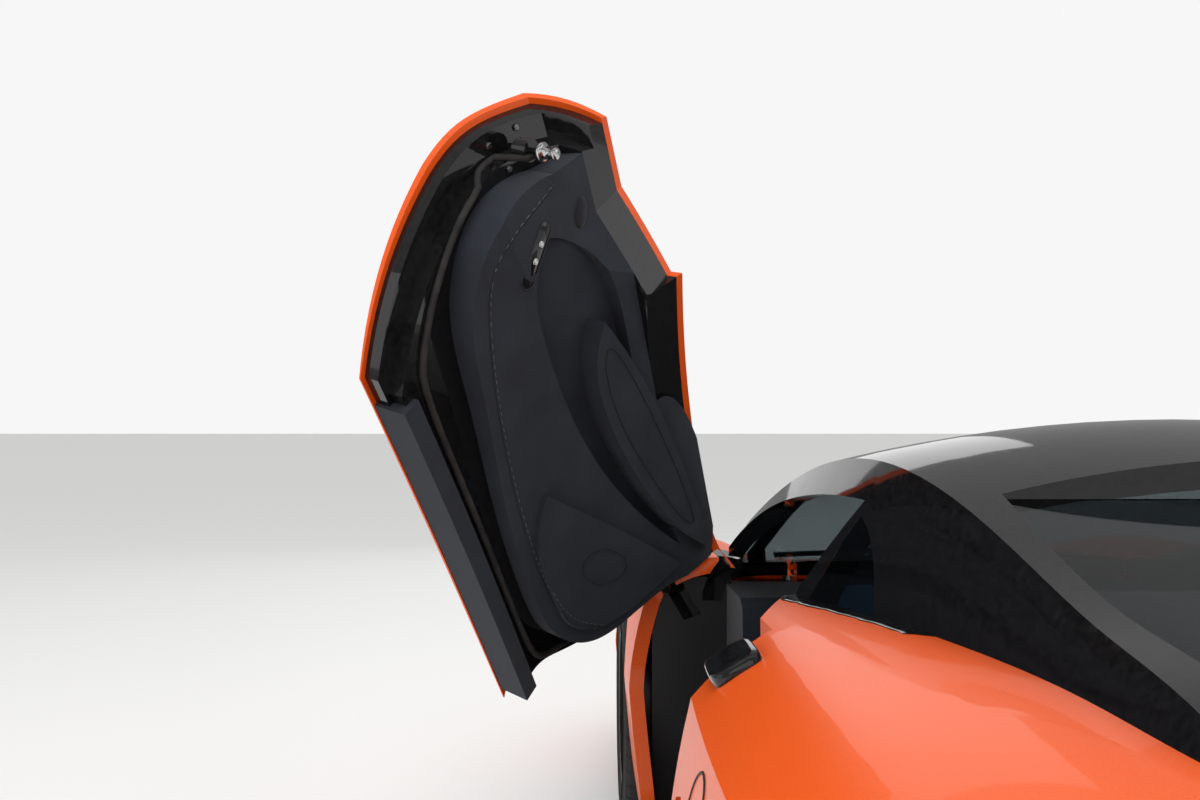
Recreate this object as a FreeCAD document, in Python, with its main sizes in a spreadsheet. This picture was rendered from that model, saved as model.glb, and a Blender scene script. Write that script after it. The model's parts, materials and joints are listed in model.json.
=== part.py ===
"""Mid-engined two-seat supercar with upward-swinging doors, the left one open.

Millimetres.  +Y points to the tail, -Y to the nose, +X to the car's left, +Z up.
The origin is the centre of the flat underfloor; the tyres reach ride_height below it.
"""
import FreeCAD, Part
import math
import os
from FreeCAD import Placement, Rotation, Vector

doc = FreeCAD.newDocument("supercar")

# Driving dimensions
SIZES = [
    # alias, value, meaning
    ("ride_height", 115, "ground to the underfloor"),
    ("wheelbase", 2640, "front axle to rear axle"),
    ("nose_y", -2380, "foremost point of the body"),
    ("tail_y", 2150, "rearmost point of the body"),
    ("body_bottom", 35, "lower edge of the painted body above the underfloor"),
    ("skin", 38, "thickness of the fixed body panels"),
    ("shell", 42, "thickness of the roof shell"),
    ("panel_gap", 6, "gap round a moving panel"),
    ("seam", 0.3, "gap between fixed panels that touch"),
    ("front_track", 1650, "front tyre centre to tyre centre"),
    ("rear_track", 1613, "rear tyre centre to tyre centre"),
    ("front_tyre_d", 647, "front tyre outer diameter"),
    ("rear_tyre_d", 714, "rear tyre outer diameter"),
    ("front_tyre_w", 235, "front tyre width"),
    ("rear_tyre_w", 295, "rear tyre width"),
    ("front_rim_d", 482.6, "front rim seat diameter"),
    ("rear_rim_d", 508, "rear rim seat diameter"),
    ("arch_gap", 44, "tyre to wheel arch"),
    ("disc_d", 380, "brake disc diameter"),
    ("disc_t", 32, "brake disc thickness"),
    ("spokes", 10, "spokes in a wheel"),
    ("spindle_r", 30, "stub axle radius"),
    ("running", 0.3, "radial clearance of a wheel on its stub axle"),
    ("kingpin_in", 75, "kingpin axis inboard of the tyre centre"),
    ("door_skin", 14, "thickness of the doors' outer panel"),
    ("door_t", 80, "outer and inner panel of a door together"),
    ("door_foot_z", 64, "lower edge of the doors"),
    ("hinge_x", 800, "middle of the left door's hinge pin"),
    ("hinge_y", -880, "middle of the left door's hinge pin"),
    ("hinge_z", 650, "middle of the left door's hinge pin"),
    ("hinge_pin_r", 8, "hinge pin radius"),
    ("door_open_deg", 56.5, "opening angle of a door"),
    ("lid_hinge_y", -985, "hinge axis of the bonnet"),
    ("lid_hinge_z", 632, "hinge axis of the bonnet"),
    ("lid_pin_r", 6, "radius of the bonnet's hinge pins"),
    ("glass_t", 5, "window thickness"),
    ("sill_z", 250, "top of the tub's sill beams"),
    ("sill_x", 764, "outer side of the tub's sill beams"),
    ("floor_t", 30, "thickness of the tub's floor"),
    ("steer_rim_d", 360, "steering wheel diameter"),
]
sheet = doc.addObject("Spreadsheet::Sheet", "Sizes")
for row, (alias, value, meaning) in enumerate(SIZES, start=1):
    sheet.set("A%d" % row, meaning)
    sheet.set("B%d" % row, str(value))
    sheet.setAlias("B%d" % row, alias)
doc.recompute()


def size(alias):
    """The value of a cell of the sheet."""
    return float(getattr(sheet, alias))


GROUND = -size("ride_height")
FRONT_AXLE = -size("wheelbase") / 2
REAR_AXLE = size("wheelbase") / 2
FRONT_HUB_Z = size("front_tyre_d") / 2 + GROUND
REAR_HUB_Z = size("rear_tyre_d") / 2 + GROUND
GAP = size("panel_gap")
SEAM = size("seam")
pieces = []


def add(name, shape, placement=None):
    """A finished sub-part as an object of the document."""
    piece = doc.addObject("Part::Feature", name)
    piece.Label = name
    piece.Shape = shape
    if placement is not None:
        piece.Placement = placement
    pieces.append(piece)
    return piece


# Shape helpers
def mirrored(shape):
    return shape.mirror(Vector(0, 0, 0), Vector(1, 0, 0))


def rounded(points, radii, lift):
    """Closed wire through 2D points with its corners rounded; lift turns a 2D point into a 3D one."""
    n = len(points)
    if not hasattr(radii, "__len__"):
        radii = [radii] * n
    ends = []
    for i, (point, radius) in enumerate(zip(points, radii)):
        here = Vector(point[0], point[1], 0)
        back = (Vector(*points[i - 1], 0) - here).normalize()
        ahead = (Vector(*points[(i + 1) % n], 0) - here).normalize()
        half = back.getAngle(ahead) / 2
        reach = radius / math.tan(half) if radius else 0
        first, last = here + back * reach, here + ahead * reach
        middle = None
        if radius:
            bisector = (back + ahead).normalize()
            middle = here + bisector * (radius / math.sin(half) - radius)
        ends.append((first, middle, last))
    edges = []
    for i, (first, middle, last) in enumerate(ends):
        if middle is not None:
            edges.append(Part.Arc(lift(first), lift(middle), lift(last)).toShape())
        start = ends[(i + 1) % n][0]
        if last.distanceToPoint(start) > 1e-6:
            edges.append(Part.LineSegment(lift(last), lift(start)).toShape())
    return Part.Wire(edges)


def prism_x(points, radii, x0, x1):
    """Side-view outline, points of (y, z), between two values of x."""
    wire = rounded(points, radii, lambda p: Vector(x0, p.x, p.y))
    return Part.Face(wire).extrude(Vector(x1 - x0, 0, 0))


def prism_y(points, radii, y0, y1):
    """Front-view outline, points of (x, z), between two values of y."""
    wire = rounded(points, radii, lambda p: Vector(p.x, y0, p.y))
    return Part.Face(wire).extrude(Vector(0, y1 - y0, 0))


def prism_z(points, radii, z0, z1):
    """Plan-view outline, points of (x, y), between two values of z."""
    wire = rounded(points, radii, lambda p: Vector(p.x, p.y, z0))
    return Part.Face(wire).extrude(Vector(0, 0, z1 - z0))


def curved(runs, lift):
    """Closed wire of runs of 2D points: a run of two is a line, a longer one a smooth curve."""
    edges = []
    for run in runs:
        points = [lift(Vector(p[0], p[1], 0)) for p in run]
        if len(points) == 2:
            edges.append(Part.LineSegment(points[0], points[1]).toShape())
        else:
            spline = Part.BSplineCurve()
            spline.interpolate(points)
            edges.append(spline.toShape())
    return Part.Wire(edges)


def curved_z(runs, z0, z1):
    """Plan-view outline of lines and smooth curves, between two heights."""
    wire = curved(runs, lambda p: Vector(p.x, p.y, z0))
    return Part.Face(wire).extrude(Vector(0, 0, z1 - z0))


def curved_x(runs, x0, x1):
    """Side-view outline of lines and smooth curves, between two values of x."""
    wire = curved(runs, lambda p: Vector(x0, p.x, p.y))
    return Part.Face(wire).extrude(Vector(x1 - x0, 0, 0))


def curved_y(runs, y0, y1):
    """Front-view outline of lines and smooth curves, between two values of y."""
    wire = curved(runs, lambda p: Vector(p.x, y0, p.y))
    return Part.Face(wire).extrude(Vector(0, y1 - y0, 0))


def box(x0, x1, y0, y1, z0, z1):
    return Part.makeBox(x1 - x0, y1 - y0, z1 - z0, Vector(x0, y0, z0))


def disc_x(radius, x0, x1, y, z):
    """A cylinder along X."""
    return Part.makeCylinder(radius, x1 - x0, Vector(x0, y, z), Vector(1, 0, 0))


def arc(a, b, c):
    return Part.Arc(a, b, c).toShape()


def line(a, b):
    return Part.LineSegment(a, b).toShape()


# The painted body: one smooth loft through these stations
BODY = [
    # y, half width at the bottom, widest (w, z), shoulder (w, z), crown (w, z), inner dip (w, z), centre z
    (-2380, 560, 610, 225, 585, 340, 480, 385, 250, 400, 404),
    (-2180, 790, 845, 255, 800, 420, 670, 480, 350, 476, 480),
    (-1850, 888, 930, 310, 880, 560, 770, 622, 450, 566, 556),
    (-1350, 905, 948, 370, 900, 630, 780, 700, 530, 645, 628),
    (-830, 898, 932, 370, 880, 628, 790, 700, 620, 700, 705),
    (-200, 890, 914, 355, 868, 640, 780, 712, 600, 730, 740),
    (420, 897, 930, 390, 890, 668, 800, 738, 560, 765, 775),
    (1050, 915, 956, 455, 912, 705, 810, 768, 540, 800, 812),
    (1550, 905, 945, 480, 900, 712, 790, 775, 520, 812, 822),
    (2150, 780, 840, 470, 808, 690, 720, 745, 480, 778, 786),
]


def body_wire(station, inset, y, bottom):
    """Cross-section of the body, every surface moved inwards by inset."""
    _, w_low, w_max, z_max, w_sh, z_sh, w_cr, z_cr, w_in, z_in, z_mid = station

    def at(w, z, side):
        return Vector(side * w, y, z)

    low = w_low - inset
    wide = (w_max - inset, z_max)
    shoulder = (w_sh - inset, z_sh - inset * 0.35)
    crown = (w_cr - inset * 0.5, z_cr - inset)
    inner = (w_in, z_in - inset)
    flank = (low * 0.35 + wide[0] * 0.65, (bottom + z_max) * 0.5)
    upper = ((wide[0] + shoulder[0]) * 0.5 + 8, (z_max + shoulder[1]) * 0.5)
    edges = [line(at(low, bottom, -1), at(low, bottom, 1))]
    right = []
    for side, store in ((1, edges), (-1, right)):
        store.append(arc(at(low, bottom, side), at(*flank, side), at(*wide, side)))
        store.append(arc(at(*wide, side), at(*upper, side), at(*shoulder, side)))
        store.append(arc(at(*shoulder, side), at(*crown, side), at(*inner, side)))
    edges.append(arc(at(*inner, 1), Vector(0, y, z_mid - inset), at(*inner, -1)))
    return Part.Wire(edges + right[::-1])


def body_loft(inset, front, rear, bottom):
    wires = []
    for i, station in enumerate(BODY):
        y = station[0]
        if i == 0:
            y += front
        if i == len(BODY) - 1:
            y -= rear
        wires.append(body_wire(station, inset, y, bottom))
    return Part.makeLoft(wires, True, False)


BOTTOM = size("body_bottom")
outer_body = body_loft(0, 0, 0, BOTTOM)
inner_body = body_loft(size("skin"), size("skin"), size("skin"), BOTTOM - 60)
skin = outer_body.cut(inner_body)

# The roof shell: windscreen, roof and flying buttresses in one loft
ROOF = [
    # y, half width at the base, base z, edge (w, z), centre z
    (-1010, 705, 600, 660, 668, 682),
    (-800, 742, 600, 690, 715, 790),
    (-450, 742, 620, 634, 880, 955),
    (-100, 720, 640, 574, 985, 1052),
    (250, 676, 650, 532, 1002, 1074),
    (650, 618, 670, 508, 935, 1000),
    (1050, 592, 700, 530, 862, 905),
    (1420, 596, 720, 572, 806, 830),
]


def roof_wire(station, inset, y):
    _, w_base, z_base, w_edge, z_edge, z_mid = station
    base = (w_base - inset, z_base - 2 * max(inset, 0))
    edge = (w_edge - inset * 0.8, z_edge - inset * 0.6)
    side = ((base[0] + edge[0]) / 2 + 14, (base[1] + edge[1]) / 2)

    def at(p, s):
        return Vector(s * p[0], y, p[1])

    return Part.Wire([
        line(at(base, -1), at(base, 1)),
        arc(at(base, 1), at(side, 1), at(edge, 1)),
        arc(at(edge, 1), Vector(0, y, z_mid - inset), at(edge, -1)),
        arc(at(edge, -1), at(side, -1), at(base, -1)),
    ])


def roof_loft(inset):
    return Part.makeLoft([roof_wire(s, inset, s[0]) for s in ROOF], True, False)


roof_outer = roof_loft(0)
roof_inner = roof_loft(size("shell"))


# Outlines that split the body; side views hold (y, z), plan views (x, y)
BONNET = [(590, -1062), (588, -1300), (545, -1640), (450, -1960)]
NOSE_SPLIT = -1860
TAIL_SPLIT = 1880
DECK_FRONT = 1010
DECK_HALF = 520
COWL_FRONT = -1056

# Hinge of the left door: its axis leans outwards, forwards and down
PIVOT = Vector(size("hinge_x"), size("hinge_y"), size("hinge_z"))
HINGE_AXIS = Vector(0.76, -0.466, -0.45).normalize()
PIN_R = size("hinge_pin_r")
hinge_frame = Placement(PIVOT, Rotation(Vector(0, 1, 0), Vector(), HINGE_AXIS, "ZXY"))


def hinge_cone(grow):
    """The body keeps this cone about the hinge axis, so the door's front edge turns round it."""
    start = PIVOT - HINGE_AXIS * (150 + grow)
    return Part.makeCone(26.5 + 0.77 * grow, 77.8 + 1.31 * grow, 190 + 2 * grow, start, HINGE_AXIS)


# Edges of the door in side view.  The rear face slants forwards on its way into the car, along the
# path the door takes when it opens.
FRONT_EDGE = [
    # z, y
    (64, -700), (140, -668), (215, -712), (330, -792), (430, -830),
]
REAR_EDGE = [
    # z, x of the surface there, y, slant
    (900, 800, 430, 0.7), (760, 800, 462, 0.7), (700, 850, 505, 0.45), (610, 893, 535, 0.26), (500, 915, 545, 0.14),
    (385, 930, 515, 0.05), (220, 915, 430, 0), (64, 893, 290, 0),
]


def tongue(ahead, grow):
    """Plan of the haunch's forward corner along the belt."""
    return prism_z([(600, 96 - ahead), (690 - grow, 96 - ahead), (765 - grow, 290 + 2 * grow), (775 - grow, 640),
                    (600, 640)], 0, 400, 900)


def door_zone(grow, rear=0):
    """The space of the left door; rear moves its rear face alone."""
    def outline(x):
        front = [(y - 1.4 * grow, z) for z, y in FRONT_EDGE]
        back = [(y + 1.3 * grow + rear + slant * (x - surface), z) for z, surface, y, slant in REAR_EDGE]
        front[0] = (front[0][0] - 1.2 * grow, front[0][1] - grow)
        back[-1] = (back[-1][0] - 0.9 * grow, back[-1][1] - grow)
        top = (front[-1][0], back[0][1])
        runs = [front, [front[-1], top], [top, back[0]], back, [back[-1], front[0]]]
        return curved(runs, lambda p: Vector(x, p.x, p.y))

    zone = Part.makeLoft([outline(640), outline(1100)], True, True)
    if grow > 0:
        return zone.cut(tongue(0, grow)).cut(hinge_cone(0))
    return zone.cut(tongue(12, 0)).cut(hinge_cone(GAP))


def bonnet_zone(grow):
    side = [(x + grow, y) for x, y in BONNET]
    side[0] = (side[0][0], side[0][1] + grow)
    side[-1] = (side[-1][0], side[-1][1] - grow)
    other = [(-x, y) for x, y in reversed(side)]
    return curved_z([side, [side[-1], other[0]], other, [other[-1], side[0]]], 300, 900)


def arch(tyre_d, y, z, grow=0):
    """The wheel arch's cylinder on both sides."""
    radius = tyre_d / 2 + size("arch_gap") + grow
    return disc_x(radius, 500, 1100, y, z).fuse(disc_x(radius, -1100, -500, y, z))


FRONT_ARCH = arch(size("front_tyre_d"), FRONT_AXLE, FRONT_HUB_Z)
REAR_ARCH = arch(size("rear_tyre_d"), REAR_AXLE, REAR_HUB_Z)
door_space = door_zone(GAP)
door_space_both = door_space.fuse(mirrored(door_space))
roof_seat = roof_loft(-SEAM)


def on_hinge(radius, a, b):
    """A cylinder about the door's hinge axis."""
    return Part.makeCylinder(radius, b - a, PIVOT + HINGE_AXIS * a, HINGE_AXIS)


def hinge_plate(points, radii, a, b):
    """An outline across the hinge axis, of (rearwards, upwards) points, between two places on it."""
    plate = prism_z(points, radii, a, b)
    plate.Placement = hinge_frame
    return plate


EAR = [(-14, 14), (-52, -34), (-30, -62), (14, -14)]
LEAF = [(-13, 2), (-14, -30), (0, -48), (50, -68), (74, -68), (74, -45), (58, -45), (40, -24), (20, -20), (13, -10), (13, 2)]
hinge_ears = None
for near, far in ((-34, -21), (21, 34)):
    ear = hinge_plate(EAR, 6, near, far).fuse(on_hinge(16, near, far))
    hinge_ears = ear if hinge_ears is None else hinge_ears.fuse(ear)
hinge_ears = hinge_ears.fuse(on_hinge(PIN_R, -34, 34))
hinge_room = on_hinge(108, -21, 21).common(box(600, 1000, -899, -700, 300, 760)).fuse(on_hinge(19.5, -21, 21))
hinge_pocket = hinge_room.fuse(on_hinge(19.5, -36, 36)).common(body_loft(3, 0, 0, -60))
hinge_leaf = hinge_plate(LEAF, 3, -12, 12).fuse(on_hinge(14, -15, 15)).cut(on_hinge(PIN_R + size("running"), -40, 40))

# Hinges of the bonnet: arms under it turn on pins held by ears of the tub
LID_Y, LID_Z = size("lid_hinge_y"), size("lid_hinge_z")
LID_PIN = size("lid_pin_r")
lid_slot = prism_x([(-1066, 590), (-1066, 720), (-1012, 720), (-1012, 690), (-998, 668), (-992, 645), (-992, 590)],
                   0, 457, 483)
lid_slots = lid_slot.fuse(mirrored(lid_slot))
lid_ear = prism_x([(LID_Y - 14, 612), (LID_Y - 14, LID_Z + 12), (LID_Y + 14, LID_Z + 14), (-935, 638), (-935, 560)],
                  [6, 8, 8, 0, 0], 486, 500)
lid_ear = lid_ear.fuse(disc_x(LID_PIN, 458, 490, LID_Y, LID_Z))
lid_arm = prism_x([(-1112, 630), (-1112, 653), (-1082, 653), (-1072, 640), (LID_Y, LID_Z + 5), (LID_Y, LID_Z - 10),
                   (-1060, 624)], [4, 0, 0, 6, 0, 0, 6], 462, 478)
lid_arm = lid_arm.fuse(disc_x(13, 462, 478, LID_Y, LID_Z)).cut(disc_x(LID_PIN + size("running"), 400, 500, LID_Y, LID_Z))

# Roof shell with its pillars and flying buttresses
CHANNEL = [(452, 560), (488, 1010), (520, 1430)]
channel_top = prism_z(CHANNEL + [(-x, y) for x, y in reversed(CHANNEL)], 0, 600, 1200)
GLASS_SLOPE = [(560, 962), (1010, 806)]
roof_block = roof_outer.cut(roof_inner.common(box(-800, 800, -1100, 500, 0, 1300)))
roof_block = roof_block.cut(box(-440, 440, 500 - SEAM, 1500, 0, 1300).common(roof_inner))
roof_shell = roof_block.cut(channel_top)
WINDSCREEN = [(600, -985), (634, -800), (600, -560), (545, -300)]


def screen_zone(grow):
    """The windscreen's opening in plan."""
    side = [(x + grow, y) for x, y in WINDSCREEN]
    foot, head = -1002 - grow, -215 + grow
    across = [(-side[0][0], side[0][1] - grow), (0, foot - 30), (side[0][0], side[0][1] - grow)]
    top = [(side[-1][0], side[-1][1] + grow), (0, head), (-side[-1][0], side[-1][1] + grow)]
    right = [across[-1], *side[1:-1], top[0]]
    left = [top[-1], *[(-x, y) for x, y in reversed(side[1:-1])], across[0]]
    return curved_z([across, right, top, left], 620, 1200)


DOOR_WINDOW_TOP = [(-790, 700), (-640, 768), (-450, 838), (-150, 902), (215, 922)]
QUARTER_TOP = [(245, 914), (360, 862), (476, 738)]


def door_window(grow):
    """Side view of the door window, sunk into the door below the belt."""
    top = [(y, z + grow) for y, z in DOOR_WINDOW_TOP]
    top[0] = (top[0][0] - grow, top[0][1])
    top[-1] = (top[-1][0] + 1.25 * grow, top[-1][1])
    belt, foot = (84 + grow, 766), (80 + grow, 600)
    return curved_x([top, [top[-1], belt], [belt, foot], [foot, (top[0][0], 600)], [(top[0][0], 600), top[0]]], 300, 900)


def quarter_window(grow):
    top = [(y, z + grow) for y, z in QUARTER_TOP]
    foot = (138 - grow, 694 - grow)
    return curved_x([top, [top[-1], foot], [foot, top[0]]], 300, 900)


roof_shell = roof_shell.cut(screen_zone(0))
side_holes = door_window(GAP + 10).fuse(quarter_window(0))
roof_shell = roof_shell.cut(side_holes).cut(mirrored(side_holes))
belt_cut = body_loft(-GAP, 0, 0, BOTTOM).common(door_space_both)
roof_shell = roof_shell.cut(belt_cut).cut(lid_slots)


# Fixed panels of the skin
front_part = skin.common(box(-1200, 1200, NOSE_SPLIT + SEAM, -560, 0, 1200)).cut(door_space_both)
fenders = front_part.cut(bonnet_zone(GAP + 1)).cut(FRONT_ARCH).cut(roof_seat)
fenders = fenders.cut(box(-700, 700, COWL_FRONT - 2, 0, 500, 900)).cut(box(-1200, 1200, -700, 0, 0, 65))
fenders = fenders.cut(hinge_pocket).cut(mirrored(hinge_pocket))
cowl = skin.common(box(-700 + SEAM, 700 - SEAM, COWL_FRONT + SEAM, -835, 500 + SEAM, 900)).cut(roof_seat)
cowl = cowl.cut(lid_slots)
nose = skin.common(box(-1200, 1200, -2500, NOSE_SPLIT, 0, 1200)).cut(bonnet_zone(GAP + 4))
rear_part = skin.common(box(-1200, 1200, 90, TAIL_SPLIT - SEAM, 0, 1200)).cut(door_space_both)
rear_part = rear_part.cut(roof_seat).cut(REAR_ARCH).cut(box(-1200, 1200, 80, 300, 0, 70))
deck_zone = box(-DECK_HALF, DECK_HALF, DECK_FRONT, TAIL_SPLIT + 100, 600, 1200)
cabin_zone = box(-560, 560, -900, DECK_FRONT + 20, 500, 1200)
haunches = rear_part.cut(deck_zone).cut(cabin_zone)
engine_deck = skin.common(box(-DECK_HALF + SEAM, DECK_HALF - SEAM, DECK_FRONT, TAIL_SPLIT - SEAM, 600 + SEAM, 1200))
engine_deck = engine_deck.cut(roof_shell)
for slot_y in (1490, 1560, 1630, 1700):
    engine_deck = engine_deck.cut(box(-330, 330, slot_y, slot_y + 26, 600, 1200))
tail = skin.common(box(-1200, 1200, TAIL_SPLIT, 2500, 0, 1200))

# Air intakes and outlets; front views hold (x, z), the side view (y, z)
SIDE_INTAKE = [(618, 560), (730, 596), (800, 520), (778, 380), (700, 300), (590, 262), (640, 400)]
NOSE_INTAKE = [(330, 84), (590, 92), (696, 178), (662, 232), (470, 204), (352, 150)]
NOSE_SLOT = [(-250, 80), (250, 80), (214, 150), (-214, 150)]
TAIL_OUTLET = [(345, 405), (690, 412), (716, 498), (600, 512), (345, 498)]
TAIL_GRILLE = [(-300, 562), (300, 562), (276, 650), (-276, 650)]
intake = prism_x(SIDE_INTAKE, [30, 40, 40, 40, 40, 30, 60], 780, 1100)
haunches = haunches.cut(intake).cut(mirrored(intake))
for outline in (NOSE_INTAKE, [(-x, z) for x, z in reversed(NOSE_INTAKE)], NOSE_SLOT):
    nose = nose.cut(prism_y(outline, 14, -2500, -2180))
for outline in (TAIL_OUTLET, [(-x, z) for x, z in reversed(TAIL_OUTLET)], TAIL_GRILLE):
    tail = tail.cut(prism_y(outline, 14, 2100, 2200))

# Lamps let into the nose and the tail
LAMP = [(560, -2130), (700, -2075), (806, -1960), (868, -1872), (820, -1872), (740, -1955), (600, -2060)]
lamp_zone = prism_z(LAMP, [10, 40, 40, 6, 6, 60, 40], 340, 800)
lamp_hole = prism_z(LAMP, [10, 40, 40, 6, 6, 60, 40], 330, 801)
lamp_left = skin.common(lamp_zone)
headlamps = lamp_left.fuse(mirrored(lamp_left))
lamp_seat = body_loft(-2, -2, 0, BOTTOM).common(lamp_hole)
nose = nose.cut(lamp_seat).cut(mirrored(lamp_seat))
TAILLAMP = [(330, 662), (700, 672), (762, 612), (765, 540), (778, 540), (776, 622), (714, 690), (330, 680)]
tail_lamp = prism_y(TAILLAMP, [4, 12, 20, 4, 4, 20, 12, 4], 2120, 2149)
tail_seat = prism_y(TAILLAMP, [4, 12, 20, 4, 4, 20, 12, 4], 2119.7, 2160)
taillamps = tail_lamp.fuse(mirrored(tail_lamp))
tail = tail.cut(tail_seat).cut(mirrored(tail_seat))

# Diffuser below the tail, splitter below the nose, skirts below the doors
tail = tail.cut(box(-540, 540, 1800, 2200, 0, 230))
diffuser = prism_x([(1700, 0), (1720, 0), (2120, 180), (2120, 205), (2105, 205)], 0, -539.7, 539.7)
for fin_x in (-400, -200, 0, 200, 400):
    diffuser = diffuser.fuse(prism_x([(1710, 2), (2120, 20), (2120, 185), (2080, 168)], 0, fin_x - 6, fin_x + 6))
diffuser = diffuser.removeSplitter()
lowest = min(body_loft(6, 6, 0, BOTTOM).common(box(-1200, 1200, -2400, NOSE_SPLIT, 0, 300)).Faces,
             key=lambda f: f.CenterOfMass.z)
splitter = lowest.extrude(Vector(0, 0, -24))
SKIRT_SIDE = size("sill_x") + SEAM
skirt_left = body_loft(0, 0, 0, BOTTOM).common(box(SKIRT_SIDE, 1000, -890, 905, BOTTOM, 59))
skirt_left = skirt_left.fuse(box(SKIRT_SIDE, 880, -890, 905, 5, BOTTOM)).cut(REAR_ARCH).cut(FRONT_ARCH)
skirt_left = skirt_left.cut(skin.common(box(0, 1200, 300, 1000, 0, 200))).cut(fenders).removeSplitter()
side_skirts = skirt_left.fuse(mirrored(skirt_left))

# Fixed windows
screen = roof_outer.cut(roof_loft(size("glass_t"))).common(screen_zone(-SEAM)).cut(roof_shell)
quarter = roof_outer.cut(roof_loft(size("glass_t"))).common(quarter_window(-SEAM))
quarter = quarter.common(box(0, 900, 0, 600, 0, 1200)).cut(roof_shell)
slope_front, slope_rear = GLASS_SLOPE
rear_face = prism_x([slope_front, slope_rear, (slope_rear[0], slope_rear[1] - 6), (slope_front[0], slope_front[1] - 6)],
                    0, -600, 600)
rear_glass = max(rear_face.cut(roof_shell).Solids, key=lambda s: s.Volume)
windows = Part.makeCompound([screen, quarter, mirrored(quarter), rear_glass])

# Doors: outer panel, inner panel with a stepped flange, trim, window, mirror
DOOR_SKIN = size("door_skin")
DOOR_T = size("door_t")
GLASS_T = size("glass_t")
FLANGE = 48
glass_outer = roof_loft(2 - SEAM)
door_outer = outer_body.cut(body_loft(DOOR_SKIN, 0, 0, -100)).common(door_zone(0)).cut(glass_outer)
step = body_loft(DOOR_SKIN + SEAM, 0, 0, -100).cut(body_loft(FLANGE, 0, 0, -120)).common(door_zone(-10))
panel = body_loft(FLANGE, 0, 0, -120).cut(body_loft(DOOR_T, 0, 0, -140)).common(door_zone(-22, -34))
RAIL_FRONT, RAIL_REAR, RAIL_TOP = -665, 225, 108
rail_room = box(600, 1200, RAIL_FRONT - SEAM, RAIL_REAR + SEAM, 0, RAIL_TOP + SEAM)
door_inner = step.fuse(panel).cut(glass_outer).cut(rail_room)
door_inner = max(door_inner.Solids, key=lambda s: s.Volume)
door_inner = door_inner.fuse(box(788, 838, -818, -798, 566, 616)).fuse(hinge_leaf)
latch = disc_x(22, 804, 836, 478, 556).fuse(disc_x(6, 780, 810, 478, 556))
door_inner = door_inner.fuse(latch).removeSplitter()

# Inner face of the door's trim, front view of (x, z)
TRIM_FACE = [(800, 100), (786, 250), (764, 420), (738, 560), (704, 690), (696, 790)]


def outboard(shift):
    """Everything outboard of the trim's inner face moved outwards by shift."""
    face = [(x + shift, z) for x, z in TRIM_FACE]
    return curved_y([face, [face[-1], (1000, 790)], [(1000, 790), (1000, 100)], [(1000, 100), face[0]]], -900, 700)


TRIM = [(430, 560), (405, 355), (330, 280), (134, 228), (-102, 190), (-398, 172), (-573, 198), (-698, 299), (-744, 469),
        (-781, 607)]
RECESS = [(325, 500), (250, 575), (-40, 602), (-380, 606), (-660, 608)]
RECESS_FOOT = [(-660, 608), (-467, 520), (-152, 427), (134, 405), (270, 430), (325, 500)]
BLADE = [(95, 545), (-60, 592), (-390, 650), (-735, 682)]
BLADE_FOOT = [(-735, 682), (-600, 610), (-420, 545), (-160, 492), (20, 500), (95, 545)]
POCKET = [(-185, 285), (-400, 415), (-560, 508), (-715, 590)]
POCKET_FOOT = [(-715, 590), (-712, 470), (-672, 330), (-585, 240), (-420, 215), (-290, 222), (-185, 285)]
trim_room = body_loft(DOOR_T + SEAM, 0, 0, -140).fuse(outer_body.common(roof_loft(2 + GLASS_T + SEAM)))
trim_room = trim_room.cut(tongue(12, 0)).cut(hinge_cone(GAP))
trim_top = [TRIM[-1], (-784, 800)], [(-784, 800), (405, 800)], [(405, 800), TRIM[0]]
door_trim = outboard(0).common(curved_x([TRIM, *trim_top], 600, 1000)).common(trim_room)
recess = outboard(-1).cut(outboard(28)).common(curved_x([RECESS, RECESS_FOOT], 600, 1000))
blade = outboard(-18).cut(outboard(32)).common(curved_x([BLADE, BLADE_FOOT], 600, 1000)).common(trim_room)
pocket = outboard(-9).cut(outboard(8)).common(curved_x([POCKET, POCKET_FOOT], 600, 1000)).common(trim_room)
door_trim = door_trim.cut(recess).fuse(blade).fuse(pocket).cut(box(0, 776, -900, 700, 0, 262))
door_trim = max(door_trim.removeSplitter().Solids, key=lambda s: s.Volume)
rail = body_loft(DOOR_SKIN + 2, 0, 0, -100).cut(body_loft(92, 0, 0, -120))
rail = rail.common(box(600, 1200, RAIL_FRONT, RAIL_REAR, 66, RAIL_TOP))
door_card = Part.makeCompound([door_trim, *rail.Solids])
pane = roof_loft(2).cut(roof_loft(2 + GLASS_T))
door_glass = pane.common(door_window(0)).common(box(300, 900, -900, 500, 0, 1300)).cut(body_loft(DOOR_T, 0, 0, 0)).cut(hinge_cone(GAP))
door_glass = max(door_glass.Solids, key=lambda s: s.Volume)
MIRROR_Y = -610
mirror_arm = prism_y([(775, 690), (800, 680), (945, 762), (925, 785)], [0, 0, 8, 8], MIRROR_Y - 30, MIRROR_Y + 20)
mirror_head = prism_y([(885, 752), (1030, 775), (1038, 850), (1000, 872), (905, 850)], [24, 24, 24, 20, 30],
                      MIRROR_Y - 75, MIRROR_Y + 25)
mirror_head = mirror_head.makeFillet(14, [e for e in mirror_head.Edges if abs(e.CenterOfMass.y - MIRROR_Y + 75) < 1])
door_mirror = mirror_arm.fuse(mirror_head).cut(body_loft(-SEAM, 0, 0, BOTTOM)).removeSplitter()

# Bonnet
bonnet = outer_body.cut(body_loft(26, 26, 0, BOTTOM)).common(bonnet_zone(0)).cut(box(-700, 700, COWL_FRONT - 8, 0, 0, 1000))
bonnet = bonnet.cut(disc_x(93, -700, 700, LID_Y, LID_Z))
bonnet = bonnet.fuse(lid_arm).fuse(mirrored(lid_arm)).removeSplitter()


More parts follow.
